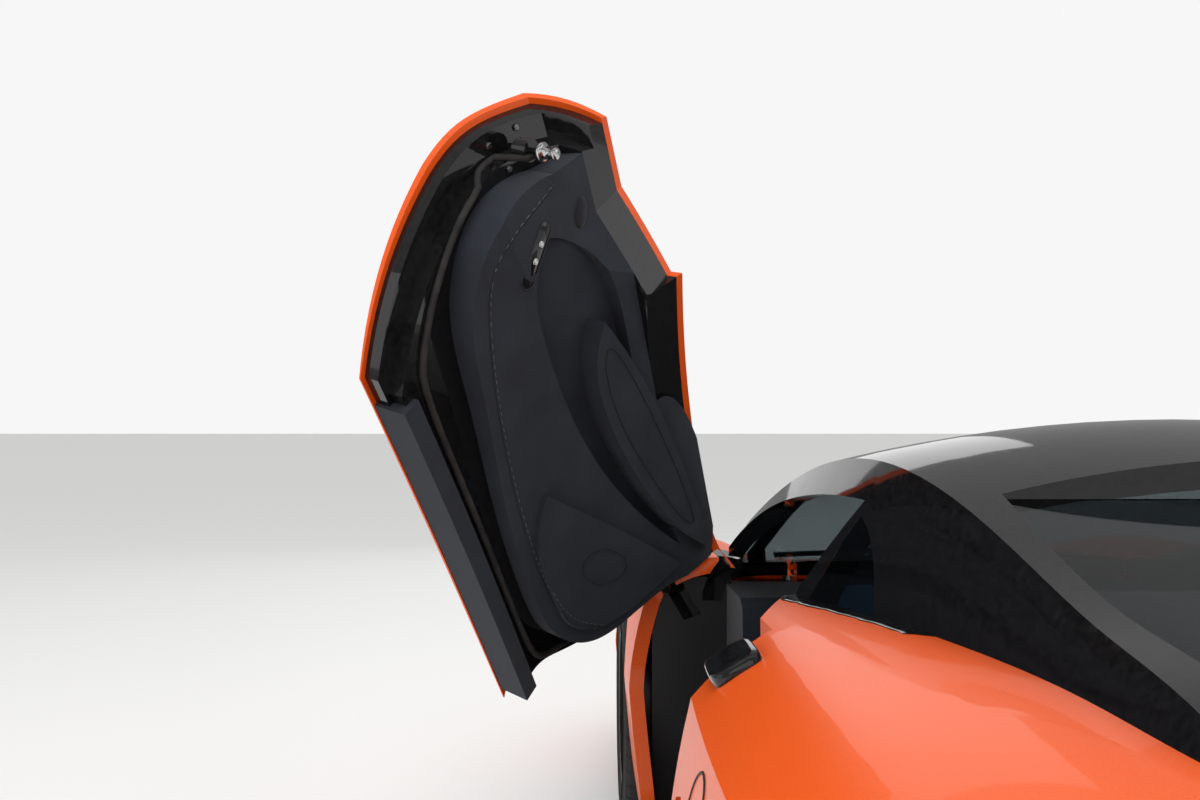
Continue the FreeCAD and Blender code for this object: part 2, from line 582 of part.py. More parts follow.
# Tub: floor, sills, bulkheads, hinge pillars, towers and end beams
inside = body_loft(size("skin") + SEAM, size("skin") + SEAM, size("skin") + SEAM, -60)
SILL_X = size("sill_x")
FLOOR = [(700, NOSE_SPLIT + SEAM), (690, -1800), (520, -1760), (520, -945), (SILL_X, -945), (SILL_X, 905), (636, 905),
         (636, 1700 - SEAM)]
floor_outline = FLOOR + [(-x, y) for x, y in reversed(FLOOR)]
tub = prism_z(floor_outline, 0, 0, size("floor_t"))
WELL_F, WELL_R = 520, 636
front_well = disc_x(size("front_tyre_d") / 2 + size("arch_gap") + 6, WELL_F, 1200, FRONT_AXLE, FRONT_HUB_Z)
rear_well = disc_x(size("rear_tyre_d") / 2 + size("arch_gap") + 6, WELL_R, 1200, REAR_AXLE, REAR_HUB_Z)
FRAME = [
    # x0, x1, y0, y1, z0, z1
    (640, SILL_X, -940, 650, 30, size("sill_z")),
    (0, SILL_X, -940, -900, 30, 620),
    (0, 660, 440, 478, 30, 700),
    (600, 660, 440, 650, 30, 690),
    (660, 870, -940, -848, 30, 660),
    (600, 850, 590, 650, 30, 690),
    (300, 400, -1500, -1140, 30, 380),
    (420, 470, 1120, 1520, 30, 420),
    (0, 560, -2290, -2230, BOTTOM + SEAM, 500),
    (300, 360, -2250, -1860, BOTTOM + SEAM, 160),
    (300, 360, NOSE_SPLIT + SEAM, -1500, 30, 160),
    (0, 600, 2040, 2108, 270, 500),
    (420, 480, 1500, 2108, 270, 420),
]
for x0, x1, y0, y1, z0, z1 in FRAME:
    beam = box(x0, x1, y0, y1, z0, z1)
    tub = tub.fuse(beam).fuse(mirrored(beam))
tub = tub.common(inside.fuse(box(-900, 900, -2330, 2110, 0, 60)))
for room, part in ((hinge_room, hinge_ears), (lid_slot, lid_ear)):
    tub = tub.cut(room).cut(mirrored(room)).fuse(part).fuse(mirrored(part))
tub = tub.cut(roof_shell).cut(diffuser)
for well in (front_well, rear_well):
    tub = tub.cut(well).cut(mirrored(well))
tub = tub.cut(side_skirts).cut(windows).cut(fenders).cut(haunches).removeSplitter()
for jack_x, jack_y in ((600, -780), (600, 780)):
    for side in (-1, 1):
        tub = tub.cut(Part.makeCylinder(12, 40, Vector(side * jack_x, jack_y, -1)))


# Wheel-arch liners
def liner(tyre_d, y, z, x_in):
    radius = tyre_d / 2 + size("arch_gap") - SEAM
    drum = disc_x(radius + 5.5, x_in, 1200, y, z).cut(disc_x(radius, x_in + 4, 1200, y, z))
    drum = drum.cut(box(x_in - 1, 1300, y - 600, y + 600, -400, size("floor_t") + SEAM))
    return drum.common(inside).cut(disc_x(radius + 6, x_in + 60, 1200, y, z).cut(disc_x(radius + 5, x_in + 60, 1200, y, z)))


liner_front = liner(size("front_tyre_d"), FRONT_AXLE, FRONT_HUB_Z, WELL_F + SEAM)
liner_rear = liner(size("rear_tyre_d"), REAR_AXLE, REAR_HUB_Z, WELL_R + SEAM)
for x0, x1, y, spread, z in ((500, 560, FRONT_AXLE, 150, FRONT_HUB_Z), (600, 660, REAR_AXLE, 150, REAR_HUB_Z)):
    for dz in (-150, 130):
        slot = box(x0, x1, y - spread, y + spread, z + dz - 6, z + dz + 26)
        liner_front = liner_front.cut(slot)
        liner_rear = liner_rear.cut(slot)
liners = liner_front.fuse(liner_rear).cut(fenders).cut(haunches).cut(tub)
liners = Part.makeCompound([s for s in liners.Solids if s.Volume > 1e6])
arch_liners = Part.makeCompound([liners, mirrored(liners)])


# Wheels, each a body of its own turned about X
def sketch(body, role, label, loops, offset=0):
    """A sketch on one of the body's own planes, moved along its normal by offset."""
    plane = next(f for f in body.Origin.OriginFeatures if f.Role == role)
    drawing = body.newObject("Sketcher::SketchObject", label)
    drawing.AttachmentSupport = [(plane, "")]
    drawing.MapMode = "FlatFace"
    drawing.AttachmentOffset = Placement(Vector(0, 0, offset), Rotation())
    for loop in loops:
        if isinstance(loop, float):
            drawing.addGeometry(Part.Circle(Vector(0, 0, 0), Vector(0, 0, 1), loop), False)
            continue
        for a, b in zip(loop, loop[1:] + loop[:1]):
            drawing.addGeometry(Part.LineSegment(Vector(a[0], a[1], 0), Vector(b[0], b[1], 0)), False)
    return drawing


def turned(body, label, loops, kind="PartDesign::Revolution"):
    """Loops of (x, radius) turned about the X axis, added or taken away."""
    drawing = sketch(body, "XY_Plane", label + "_profile", loops)
    feature = body.newObject(kind, label)
    feature.Profile = drawing
    feature.ReferenceAxis = (drawing, ["H_Axis"])
    feature.Angle = 360
    drawing.Visibility = False
    return feature


def wheel_body(name, axle, side):
    """An empty body at a wheel's centre, its +X pointing out of the car."""
    body = doc.addObject("PartDesign::Body", name)
    body.Label = name
    body.AllowCompound = True
    turn = "0" if side > 0 else "180"
    sign = "" if side > 0 else "-"
    body.setExpression(".Placement.Base.x", "%sSizes.%s_track / 2" % (sign, axle))
    body.setExpression(".Placement.Base.y", "%sSizes.wheelbase / 2" % ("-" if axle == "front" else ""))
    body.setExpression(".Placement.Base.z", "Sizes.%s_tyre_d / 2 - Sizes.ride_height" % axle)
    body.Placement = Placement(body.Placement.Base, Rotation(Vector(0, 0, 1), float(turn)))
    pieces.append(body)
    return body


BORE = size("spindle_r") + size("running")
BEAD = 8


def make_rim(name, axle, side):
    r_rim = size(axle + "_rim_d") / 2
    edge = size(axle + "_tyre_w") / 2 - BEAD
    body = wheel_body(name, axle, side)
    hub = body.newObject("PartDesign::Pad", name + "_hub")
    hub.Profile = sketch(body, "YZ_Plane", name + "_hub_circle", [85.0], edge - 75)
    hub.Length = 45
    spoke = body.newObject("PartDesign::Pad", name + "_spoke")
    outline = [(-26, 62), (26, 62), (15, r_rim - 60), (20, r_rim - 14), (-20, r_rim - 14), (-15, r_rim - 60)]
    spoke.Profile = sketch(body, "YZ_Plane", name + "_spoke_outline", [outline], edge - 72)
    spoke.Length = 66
    fan = body.newObject("PartDesign::PolarPattern", name + "_spokes")
    fan.Originals = [spoke]
    fan.Axis = (spoke.Profile[0], ["N_Axis"])
    fan.Angle = 360
    fan.setExpression("Occurrences", "Sizes.spokes")
    body.Tip = fan
    turned(body, name + "_barrel", [[(-edge, r_rim - 20), (edge, r_rim - 20), (edge, r_rim + 10), (edge - 5, r_rim + 10),
                                     (edge - 12, r_rim), (-edge + 12, r_rim), (-edge + 5, r_rim + 10), (-edge, r_rim + 10)]])
    dish = [(edge - 34, 30), (edge - 34, 70), (edge - 8, r_rim - 20), (edge + 40, r_rim - 20), (edge + 40, 30)]
    back = [(edge - 75, 90), (edge - 44, r_rim - 20), (edge - 120, r_rim - 20), (edge - 120, 90)]
    bore = [(-200, 0), (-200, BORE), (edge - 45, BORE), (edge - 45, 0)]
    cut = turned(body, name + "_dish", [dish, back, bore], "PartDesign::Groove")
    body.Tip = cut
    return body


def make_tyre(name, axle, side):
    r_tyre, r_rim = size(axle + "_tyre_d") / 2, size(axle + "_rim_d") / 2
    half = size(axle + "_tyre_w") / 2
    body = wheel_body(name, axle, side)
    section = [(-half + 22, r_rim + SEAM), (-half + 22, r_rim + 14), (-half, r_rim + 38), (-half, r_tyre - 44),
               (-half + 9, r_tyre - 14), (-half + 30, r_tyre), (half - 30, r_tyre), (half - 9, r_tyre - 14),
               (half, r_tyre - 44), (half, r_rim + 38), (half - 22, r_rim + 14), (half - 22, r_rim + SEAM)]
    body.Tip = turned(body, name + "_section", [section])
    return body


def make_disc(name, axle, side):
    edge = size(axle + "_tyre_w") / 2 - BEAD
    radius, thick = size("disc_d") / 2, size("disc_t")
    body = wheel_body(name, axle, side)
    section = [(-10 - thick, BORE), (-10 - thick, radius), (-10, radius), (-10, 90), (edge - 75, 90), (edge - 75, BORE)]
    body.Tip = turned(body, name + "_section", [section])
    return body


for axle in ("front", "rear"):
    for word, side in (("left", 1), ("right", -1)):
        make_rim("rim_%s_%s" % (axle, word), axle, side)
        make_tyre("tyre_%s_%s" % (axle, word), axle, side)
        make_disc("disc_%s_%s" % (axle, word), axle, side)


def upright(seat, pins):
    """Wheel carrier with stub axle, caliper and bracket, about the wheel's centre."""
    x_pin = -size("kingpin_in")
    block = prism_y([(x_pin - 26, -125), (x_pin + 22, -125), (x_pin + 22, 125), (x_pin - 26, 125)], 8, -34, 34)
    carrier = block.fuse(disc_x(62, x_pin - 10, x_pin + 26, 0, 0))
    stub = disc_x(size("spindle_r"), x_pin, seat, 0, 0)
    radius, thick = size("disc_d") / 2, size("disc_t")
    ring = disc_x(radius + 20, -10 - thick - 22, 12, 0, 0).cut(disc_x(radius - 62, -200, 200, 0, 0))
    ring = ring.cut(disc_x(radius + 5, -10 - thick - 5, -5, 0, 0))
    caliper = ring.common(prism_x([(0, 0), (-400, 190), (-400, -190)], 0, -200, 200))
    bracket = box(x_pin + 8, x_pin + 22, -150, 0, -34, 34)
    carrier = carrier.fuse(stub).fuse(caliper).fuse(bracket)
    if pins:
        for z in (-126, 96):
            carrier = carrier.cut(Part.makeCylinder(12.5, 30, Vector(x_pin, 0, z)))
    return carrier.removeSplitter()


def placed(shape, x, y, z):
    moved = shape.copy()
    moved.translate(Vector(x, y, z))
    return moved


def arms(x_in, x_pin, y, z, pins):
    """Lower and upper wishbone of the left wheel, with their ball pins."""
    result = None
    for dz, spread, tip in ((-150, 150, 26), (130, 110, 24)):
        plate = prism_z([(x_in, y - spread), (x_pin + 10, y - tip), (x_pin + 22, y), (x_pin + 10, y + tip),
                         (x_in, y + spread)], [6, 10, 10, 10, 6], z + dz, z + dz + 20)
        window = prism_z([(x_in + 45, y - spread + 50), (x_pin - 110, y - 12), (x_pin - 110, y + 12),
                          (x_in + 45, y + spread - 50)], 8, z + dz - 1, z + dz + 21)
        plate = plate.cut(window)
        result = plate if result is None else result.fuse(plate)
    if pins:
        result = result.fuse(Part.makeCylinder(12, 32, Vector(x_pin, y, z - 131)))
        result = result.fuse(Part.makeCylinder(12, 32, Vector(x_pin, y, z + 99)))
    return result.removeSplitter()


EDGE_F = size("front_tyre_w") / 2 - BEAD
EDGE_R = size("rear_tyre_w") / 2 - BEAD
FRONT_X, REAR_X = size("front_track") / 2, size("rear_track") / 2
PIN_X = FRONT_X - size("kingpin_in")
REAR_PIN = REAR_X - size("kingpin_in")
knuckle_left = placed(upright(EDGE_F - 46, True), FRONT_X, FRONT_AXLE, FRONT_HUB_Z)
hub_left = placed(upright(EDGE_R - 46, False), REAR_X, REAR_AXLE, REAR_HUB_Z)
front_arm = arms(400 + SEAM, PIN_X, FRONT_AXLE, FRONT_HUB_Z, True)
rear_arm = arms(470 + SEAM, REAR_PIN, REAR_AXLE, REAR_HUB_Z, False)
carrier_x = (REAR_PIN - 20, REAR_PIN + 16)
rear_arm = rear_arm.fuse(box(*carrier_x, REAR_AXLE - 20, REAR_AXLE + 20, REAR_HUB_Z - 132, REAR_HUB_Z + 132))
rear_hub_left = rear_arm.fuse(hub_left).removeSplitter()
suspension = Part.makeCompound([front_arm, mirrored(front_arm), rear_hub_left, mirrored(rear_hub_left)])

# Engine
engine = doc.addObject("Part::Box", "engine")
engine.Label = "engine"
engine.Length, engine.Width = 600, 530
engine.setExpression("Height", "520 - Sizes.floor_t")
engine.setExpression(".Placement.Base.z", "Sizes.floor_t")
engine.Placement.Base = Vector(-300, 660, size("floor_t"))
pieces.append(engine)

# Exhaust: two pipes through the tail
PIPE_R, PIPE_WALL, PIPE_X, PIPE_Z = 52, 6, 110, 480
exhaust = None
for side in (-1, 1):
    pipe = Part.makeCylinder(PIPE_R, 232, Vector(side * PIPE_X, 1920, PIPE_Z), Vector(0, 1, 0))
    pipe = pipe.cut(Part.makeCylinder(PIPE_R - PIPE_WALL, 232, Vector(side * PIPE_X, 1930, PIPE_Z), Vector(0, 1, 0)))
    exhaust = pipe if exhaust is None else exhaust.fuse(pipe)
    hole = Part.makeCylinder(PIPE_R + SEAM, 300, Vector(side * PIPE_X, 1900, PIPE_Z), Vector(0, 1, 0))
    tail = tail.cut(hole)
    tub = tub.cut(hole)

# Seats with side bolsters, dashboard, steering wheel
SEAT_SIDE = [(-330, 32), (150, 32), (330, 640), (300, 705), (240, 700), (90, 250), (60, 190), (-330, 180)]
BOLSTER = [(-320, 40), (150, 40), (325, 600), (270, 625), (150, 420), (20, 260), (-60, 225), (-320, 215)]
seat = prism_x(SEAT_SIDE, [30, 40, 40, 30, 30, 60, 60, 40], 130, 540)
for x0, x1 in ((110, 180), (490, 560)):
    seat = seat.fuse(prism_x(BOLSTER, [30, 40, 30, 20, 60, 60, 40, 20], x0, x1))
seat = placed(seat.removeSplitter(), 0, 0, size("floor_t") - 32)
seats = seat.fuse(mirrored(seat))
DASH_HALF = 672
console = prism_x([(-860, 30), (420, 30), (420, 330), (-300, 330), (-560, 400), (-860, 400)], [0, 0, 20, 60, 40, 0], -90, 90)
dash = prism_x([(-899.7, 400), (-700, 380), (-540, 560), (-545, 625), (-590, 645), (-899.7, 640)],
               [0, 40, 30, 20, 20, 0], -DASH_HALF, DASH_HALF)
hood = prism_x([(-760, 600), (-560, 600), (-530, 700), (-600, 706), (-760, 660)], [0, 10, 16, 20, 0], 215, 485)
dashboard = dash.fuse(hood).fuse(console).cut(roof_shell).cut(cowl).cut(tub).cut(windows)
WHEEL_C = Vector(350, -430, 590)
WHEEL_AXIS = Vector(0, 1, 0.42).normalize()
column = Part.makeCylinder(28, 120, WHEEL_C - WHEEL_AXIS * 150, WHEEL_AXIS)
column = column.fuse(Part.makeCylinder(10, 20, WHEEL_C - WHEEL_AXIS * 31, WHEEL_AXIS))
dashboard = max(dashboard.fuse(column).removeSplitter().Solids, key=lambda s: s.Volume)
RIM_R = size("steer_rim_d") / 2 - 15
eighth = [math.radians(45 * i + 22.5) for i in range(8)]
rim_section = rounded([(RIM_R + 15 * math.cos(a), 15 * math.sin(a)) for a in eighth], 0, lambda p: Vector(p.x, 0, p.y))
wheel_rim = Part.Face(rim_section).revolve(Vector(0, 0, 0), Vector(0, 0, 1), 360)
wheel_hub = Part.makeCylinder(48, 40, Vector(0, 0, -29.5))
for angle in (0, 180, 270):
    arm = box(0, RIM_R, -17, 17, -12, -2)
    arm.rotate(Vector(0, 0, 0), Vector(0, 0, 1), angle)
    wheel_hub = wheel_hub.fuse(arm)
steering_wheel = wheel_rim.fuse(wheel_hub).cut(Part.makeCylinder(10.4, 21, Vector(0, 0, -31))).removeSplitter()
steering_wheel.Placement = Placement(WHEEL_C, Rotation(Vector(0, 0, 1), WHEEL_AXIS))

# Mounts for strangers: towing eyes and the rear plate's two screws
EYE_F, EYE_R, PLATE = (-400, 255), (-455, 330), (220, 330)
nose = nose.cut(Part.makeCylinder(9, 80, Vector(EYE_F[0], -2400, EYE_F[1]), Vector(0, 1, 0)))
tail = tail.cut(Part.makeCylinder(9, 80, Vector(EYE_R[0], 2090, EYE_R[1]), Vector(0, 1, 0)))
for side in (-1, 1):
    tail = tail.cut(Part.makeCylinder(3, 80, Vector(side * PLATE[0], 2090, PLATE[1]), Vector(0, 1, 0)))

for label, shape in (("tub", tub), ("arch_liners", arch_liners), ("suspension", suspension), ("exhaust", exhaust),
                     ("seats", seats), ("dashboard", dashboard), ("steering_wheel", steering_wheel),
                     ("knuckle_left", knuckle_left), ("knuckle_right", mirrored(knuckle_left)),
                     ("roof_shell", roof_shell), ("fenders", fenders), ("cowl", cowl), ("nose", nose),
                     ("haunches", haunches), ("engine_deck", engine_deck), ("tail", tail), ("headlamps", headlamps),
                     ("taillamps", taillamps), ("diffuser", diffuser), ("splitter", splitter),
                     ("side_skirts", side_skirts), ("windows", windows), ("bonnet", bonnet),
                     ("door_right_shell", mirrored(door_outer)), ("door_right_inner", mirrored(door_inner)),
                     ("door_right_card", mirrored(door_card)), ("door_right_glass", mirrored(door_glass)),
                     ("door_right_mirror", mirrored(door_mirror))):
    add(label, shape)

# The left door stands open
swing = Rotation(HINGE_AXIS, size("door_open_deg"))
opened = Placement(Vector(0, 0, 0), swing, PIVOT)
for label, shape in (("shell", door_outer), ("inner", door_inner), ("card", door_card), ("mirror", door_mirror)):
    add("door_left_" + label, shape, opened)

doc.recompute()
for piece in doc.Objects:
    if {"Invalid", "Error"} & set(piece.State):
        raise RuntimeError(piece.Label + " did not compute")
for piece in pieces:
    if piece.Shape.isNull() or not piece.Shape.isValid() or not piece.Shape.Solids:
        raise RuntimeError(piece.Label + " has no valid solid")

os.makedirs("parts", exist_ok=True)
for piece in pieces:
    piece.Shape.exportStep("parts/%s.step" % piece.Label)
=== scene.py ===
"""Looks of the supercar: paint, glass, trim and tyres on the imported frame, with the photograph's camera.

Metres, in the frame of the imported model: +Y to the tail, +X to the car's left, +Z up.
"""
import json
import math

import bpy
from mathutils import Euler, Matrix, Vector


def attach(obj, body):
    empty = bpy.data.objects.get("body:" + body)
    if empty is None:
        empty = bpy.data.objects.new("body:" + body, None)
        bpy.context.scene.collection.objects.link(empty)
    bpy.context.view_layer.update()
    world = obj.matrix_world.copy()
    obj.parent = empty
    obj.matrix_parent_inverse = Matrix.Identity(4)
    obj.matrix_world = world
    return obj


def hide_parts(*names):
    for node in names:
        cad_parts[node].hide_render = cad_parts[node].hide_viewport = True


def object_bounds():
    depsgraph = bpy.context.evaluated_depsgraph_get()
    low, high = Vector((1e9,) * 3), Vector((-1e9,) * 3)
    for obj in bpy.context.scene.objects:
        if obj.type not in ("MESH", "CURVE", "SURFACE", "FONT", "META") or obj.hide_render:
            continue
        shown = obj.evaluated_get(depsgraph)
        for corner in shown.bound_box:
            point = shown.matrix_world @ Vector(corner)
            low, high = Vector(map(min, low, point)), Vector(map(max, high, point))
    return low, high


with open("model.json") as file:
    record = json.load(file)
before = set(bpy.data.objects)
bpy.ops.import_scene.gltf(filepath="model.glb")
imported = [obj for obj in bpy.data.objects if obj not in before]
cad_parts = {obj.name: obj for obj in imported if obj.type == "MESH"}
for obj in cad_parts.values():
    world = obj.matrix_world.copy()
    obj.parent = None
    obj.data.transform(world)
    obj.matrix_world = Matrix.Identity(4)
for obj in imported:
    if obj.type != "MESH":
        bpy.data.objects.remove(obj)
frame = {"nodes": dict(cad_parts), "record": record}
CAD_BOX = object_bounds()
NODES = frame["nodes"]
GROUND = CAD_BOX[0][2]

# The photograph's camera
PHOTO_W, PHOTO_H = 1200, 800
FOCAL_PX = 1150
CAMERA_AT = Vector((1.050, 2.200, 1.190 + GROUND))
CAMERA_YAW = math.radians(0.8)
CAMERA_PITCH = math.radians(1.0)


def look_from_behind():
    camera = bpy.data.cameras.new("photo_camera")
    camera.sensor_width = 36
    camera.lens = FOCAL_PX / PHOTO_W * camera.sensor_width
    camera.clip_start = 0.05
    camera.clip_end = 100
    holder = bpy.data.objects.new("photo_camera", camera)
    bpy.context.scene.collection.objects.link(holder)
    holder.location = CAMERA_AT
    aim = Vector((-math.sin(CAMERA_YAW) * math.cos(CAMERA_PITCH),
                  -math.cos(CAMERA_YAW) * math.cos(CAMERA_PITCH),
                  math.sin(CAMERA_PITCH)))
    holder.rotation_euler = aim.to_track_quat("-Z", "Y").to_euler()
    bpy.context.scene.camera = holder


# Materials
class Shader:
    """A node material with short names for what the recipes below need."""

    def __init__(self, name):
        self.material = bpy.data.materials.new(name)
        self.material.use_nodes = True
        self.tree = self.material.node_tree
        self.surface = self.tree.nodes["Principled BSDF"]
        self.where = self.add("ShaderNodeTexCoord").outputs["Object"]

    def add(self, kind, **values):
        node = self.tree.nodes.new(kind)
        for key, value in values.items():
            setattr(node, key, value)
        return node

    def link(self, source, target):
        self.tree.links.new(source, target)

    def set(self, **values):
        for key, value in values.items():
            self.surface.inputs[key.replace("_", " ")].default_value = value
        return self

    def noise(self, scale, detail=2.0, stretch=(1, 1, 1)):
        mapping = self.add("ShaderNodeMapping")
        mapping.inputs["Scale"].default_value = stretch
        self.link(self.where, mapping.inputs["Vector"])
        node = self.add("ShaderNodeTexNoise")
        node.inputs["Scale"].default_value = scale
        node.inputs["Detail"].default_value = detail
        self.link(mapping.outputs["Vector"], node.inputs["Vector"])
        return node.outputs["Fac"]

    def wave(self, scale, direction="X", profile="SIN"):
        node = self.add("ShaderNodeTexWave", bands_direction=direction, wave_profile=profile)
        node.inputs["Scale"].default_value = scale
        self.link(self.where, node.inputs["Vector"])
        return node.outputs["Fac"]

    def math(self, operation, a, b):
        node = self.add("ShaderNodeMath", operation=operation)
        for slot, value in zip(node.inputs, (a, b)):
            if isinstance(value, (int, float)):
                slot.default_value = value
            else:
                self.link(value, slot)
        return node.outputs["Value"]

    def ramp(self, fac, low, high, start=0.0, stop=1.0):
        node = self.add("ShaderNodeMapRange")
        for key, value in (("From Min", start), ("From Max", stop), ("To Min", low), ("To Max", high)):
            node.inputs[key].default_value = value
        self.link(fac, node.inputs["Value"])
        return node.outputs["Result"]

    def colours(self, fac, *stops):
        node = self.add("ShaderNodeValToRGB")
        points = node.color_ramp.elements
        while len(points) < len(stops):
            points.new(1.0)
        for point, (place, colour) in zip(points, stops):
            point.position = place
            point.color = (*colour, 1)
        self.link(fac, node.inputs["Fac"])
        self.link(node.outputs["Color"], self.surface.inputs["Base Color"])

    def rough(self, fac, low, high, start=0.3, stop=0.7):
        self.link(self.ramp(fac, low, high, start, stop), self.surface.inputs["Roughness"])

    def bump(self, height, strength, distance):
        node = self.add("ShaderNodeBump")
        node.inputs["Strength"].default_value = strength
        node.inputs["Distance"].default_value = distance
        self.link(height, node.inputs["Height"])
        self.link(node.outputs["Normal"], self.surface.inputs["Normal"])


def paint(name, deep, bright):
    """Lacquer: fine flake in the colour coat, a thin clear coat with slight orange peel."""
    m = Shader(name)
    flake = m.noise(2400, 1)
    m.colours(flake, (0.32, deep), (0.62, bright))
    m.rough(flake, 0.32, 0.46)
    m.set(Specular_IOR_Level=0.3, Coat_Weight=0.25, Coat_Roughness=0.03, Coat_IOR=1.4)
    m.bump(m.noise(420, 2), 0.05, 0.0004)
    return m.material


def piano_black(name):
    m = Shader(name)
    dust = m.noise(90, 5)
    m.colours(dust, (0.3, (0.004, 0.004, 0.0045)), (0.75, (0.012, 0.012, 0.013)))
    m.rough(dust, 0.03, 0.10)
    m.set(Coat_Weight=0.5, Coat_Roughness=0.02, Specular_IOR_Level=0.35)
    m.bump(m.noise(260, 2), 0.04, 0.0003)
    return m.material


def moulded(name, dark, light, rough=(0.45, 0.62), grain=700):
    """Grained black plastic."""
    m = Shader(name)
    cells = m.add("ShaderNodeTexVoronoi")
    cells.inputs["Scale"].default_value = grain
    m.link(m.where, cells.inputs["Vector"])
    cloud = m.noise(14, 3)
    m.colours(cloud, (0.3, dark), (0.7, light))
    m.rough(cloud, *rough)
    m.bump(cells.outputs["Distance"], 0.35, 0.0004)
    return m.material


def suede(name, dark, light):
    """Short-napped microfibre with brushed patches."""
    m = Shader(name)
    fine = m.math("MULTIPLY", m.noise(900, 3), 0.55)
    brushed = m.math("MULTIPLY", m.noise(11, 3), 0.45)
    nap = m.math("ADD", fine, brushed)
    m.colours(nap, (0.32, dark), (0.66, light))
    m.rough(nap, 0.82, 0.96)
    m.set(Sheen_Weight=0.15, Sheen_Roughness=0.4)
    m.bump(m.noise(1500, 2), 0.5, 0.0005)
    return m.material


def carbon(name):
    """Twill weave under satin resin."""
    m = Shader(name)
    warp = m.wave(150, "X")
    weft = m.wave(150, "Y")
    slant = m.wave(75, "DIAGONAL", "SAW")
    weave = m.math("MULTIPLY", m.math("ADD", warp, weft), slant)
    m.colours(weave, (0.1, (0.008, 0.008, 0.009)), (0.9, (0.035, 0.035, 0.038)))
    m.rough(weave, 0.32, 0.5, 0.0, 1.5)
    m.set(Coat_Weight=0.35, Coat_Roughness=0.25)
    m.bump(weave, 0.2, 0.0004)
    return m.material


def metal(name, dark, light, rough, stretch=(1, 1, 30), scale=60):
    """Brushed or cast metal."""
    m = Shader(name)
    grain = m.noise(scale, 6, stretch)
    m.colours(grain, (0.3, dark), (0.7, light))
    m.rough(grain, *rough)
    m.set(Metallic=1.0)
    m.bump(grain, 0.15, 0.0004)
    return m.material


def rubber(name):
    m = Shader(name)
    dust = m.noise(30, 5)
    m.colours(dust, (0.35, (0.012, 0.012, 0.012)), (0.7, (0.035, 0.034, 0.032)))
    m.rough(dust, 0.7, 0.9)
    m.bump(m.noise(600, 3), 0.3, 0.0006)
    return m.material


def glass(name, tint, rough=0.0):
    """Tinted glass with faint streaks in its gloss."""
    m = Shader(name)
    streak = m.noise(6, 4)
    m.colours(streak, (0.3, tint), (0.7, tuple(min(1, c * 1.12) for c in tint)))
    m.rough(streak, rough, rough + 0.03)
    m.set(Transmission_Weight=1.0, IOR=1.45, Coat_Weight=0.3, Coat_Roughness=0.02)
    return m.material


def lens(name, colour, glow, strength):
    """Ribbed lamp lens with a faint glow."""
    m = Shader(name)
    ribs = m.wave(160, "X")
    m.colours(ribs, (0.2, tuple(c * 0.7 for c in colour)), (0.8, colour))
    m.rough(ribs, 0.05, 0.16)
    m.set(Coat_Weight=1.0, Emission_Color=(*glow, 1), Emission_Strength=strength)
    m.bump(ribs, 0.3, 0.0006)
    return m.material


ORANGE = paint("orange_paint", (0.60, 0.055, 0.003), (0.96, 0.125, 0.006))
BLACK = piano_black("gloss_black")
PLASTIC = moulded("moulded_black", (0.01, 0.01, 0.011), (0.028, 0.028, 0.03))
TRIM = suede("trim_cloth", (0.007, 0.010, 0.016), (0.020, 0.027, 0.040))
TRIM_DARK = suede("trim_dark", (0.004, 0.005, 0.008), (0.011, 0.014, 0.020))
CARPET = suede("carpet", (0.006, 0.006, 0.007), (0.022, 0.022, 0.024))
THREAD = moulded("thread", (0.10, 0.10, 0.11), (0.17, 0.17, 0.18), (0.6, 0.8), 1500)
CARBON = carbon("carbon_tub")
TINTED = glass("dark_glass", (0.16, 0.19, 0.2))
CLEAR = glass("clear_lamp", (0.85, 0.9, 0.92))
RED = lens("red_lamp", (0.45, 0.006, 0.004), (1.0, 0.05, 0.02), 0.6)
GLOW = lens("daylight_lamp", (0.8, 0.85, 0.9), (0.9, 0.95, 1.0), 1.2)
STEEL = metal("steel", (0.22, 0.22, 0.23), (0.5, 0.5, 0.52), (0.28, 0.42))
CHROME = metal("chrome", (0.50, 0.50, 0.51), (0.74, 0.74, 0.75), (0.08, 0.16), (1, 1, 1), 300)
SILL = metal("sill_metal", (0.05, 0.05, 0.053), (0.12, 0.12, 0.125), (0.3, 0.45), (1, 40, 1), 30)
MIRROR_GLASS = metal("mirror_glass", (0.55, 0.57, 0.6), (0.68, 0.70, 0.73), (0.01, 0.04), (1, 1, 1), 20)
CAST = metal("engine_metal", (0.1, 0.1, 0.105), (0.28, 0.28, 0.29), (0.4, 0.6), (1, 1, 1), 220)
RIM = metal("rim_paint", (0.035, 0.035, 0.038), (0.09, 0.09, 0.095), (0.25, 0.4), (1, 1, 1), 900)
DISC = metal("disc_iron", (0.18, 0.18, 0.18), (0.42, 0.42, 0.43), (0.3, 0.45), (1, 60, 60), 40)
TYRE = rubber("tyre_rubber")
RUBBER = rubber("seal_rubber")
PLATE = moulded("blank_plate", (0.55, 0.55, 0.54), (0.68, 0.68, 0.66), (0.3, 0.5), 300)
DISPLAY = lens("display", (0.006, 0.008, 0.012), (0.05, 0.12, 0.22), 0.25)

BY_SLOT = {
    "orange_paint": ORANGE, "gloss_black": BLACK, "dark_glass": TINTED, "trim_cloth": TRIM,
    "carbon_tub": CARBON, "clear_lamp": CLEAR, "red_lamp": RED, "steel": STEEL, "engine_metal": CAST,
    "rim_paint": RIM, "tyre_rubber": TYRE, "disc_iron": DISC,
}


def dress_nodes():
    """Each CAD node gets the material of its slot in the record."""
    for part in frame["record"]["subparts"]:
        node = NODES[part["node"]]
        node.data.materials.clear()
        node.data.materials.append(BY_SLOT[part["material_slot"]])


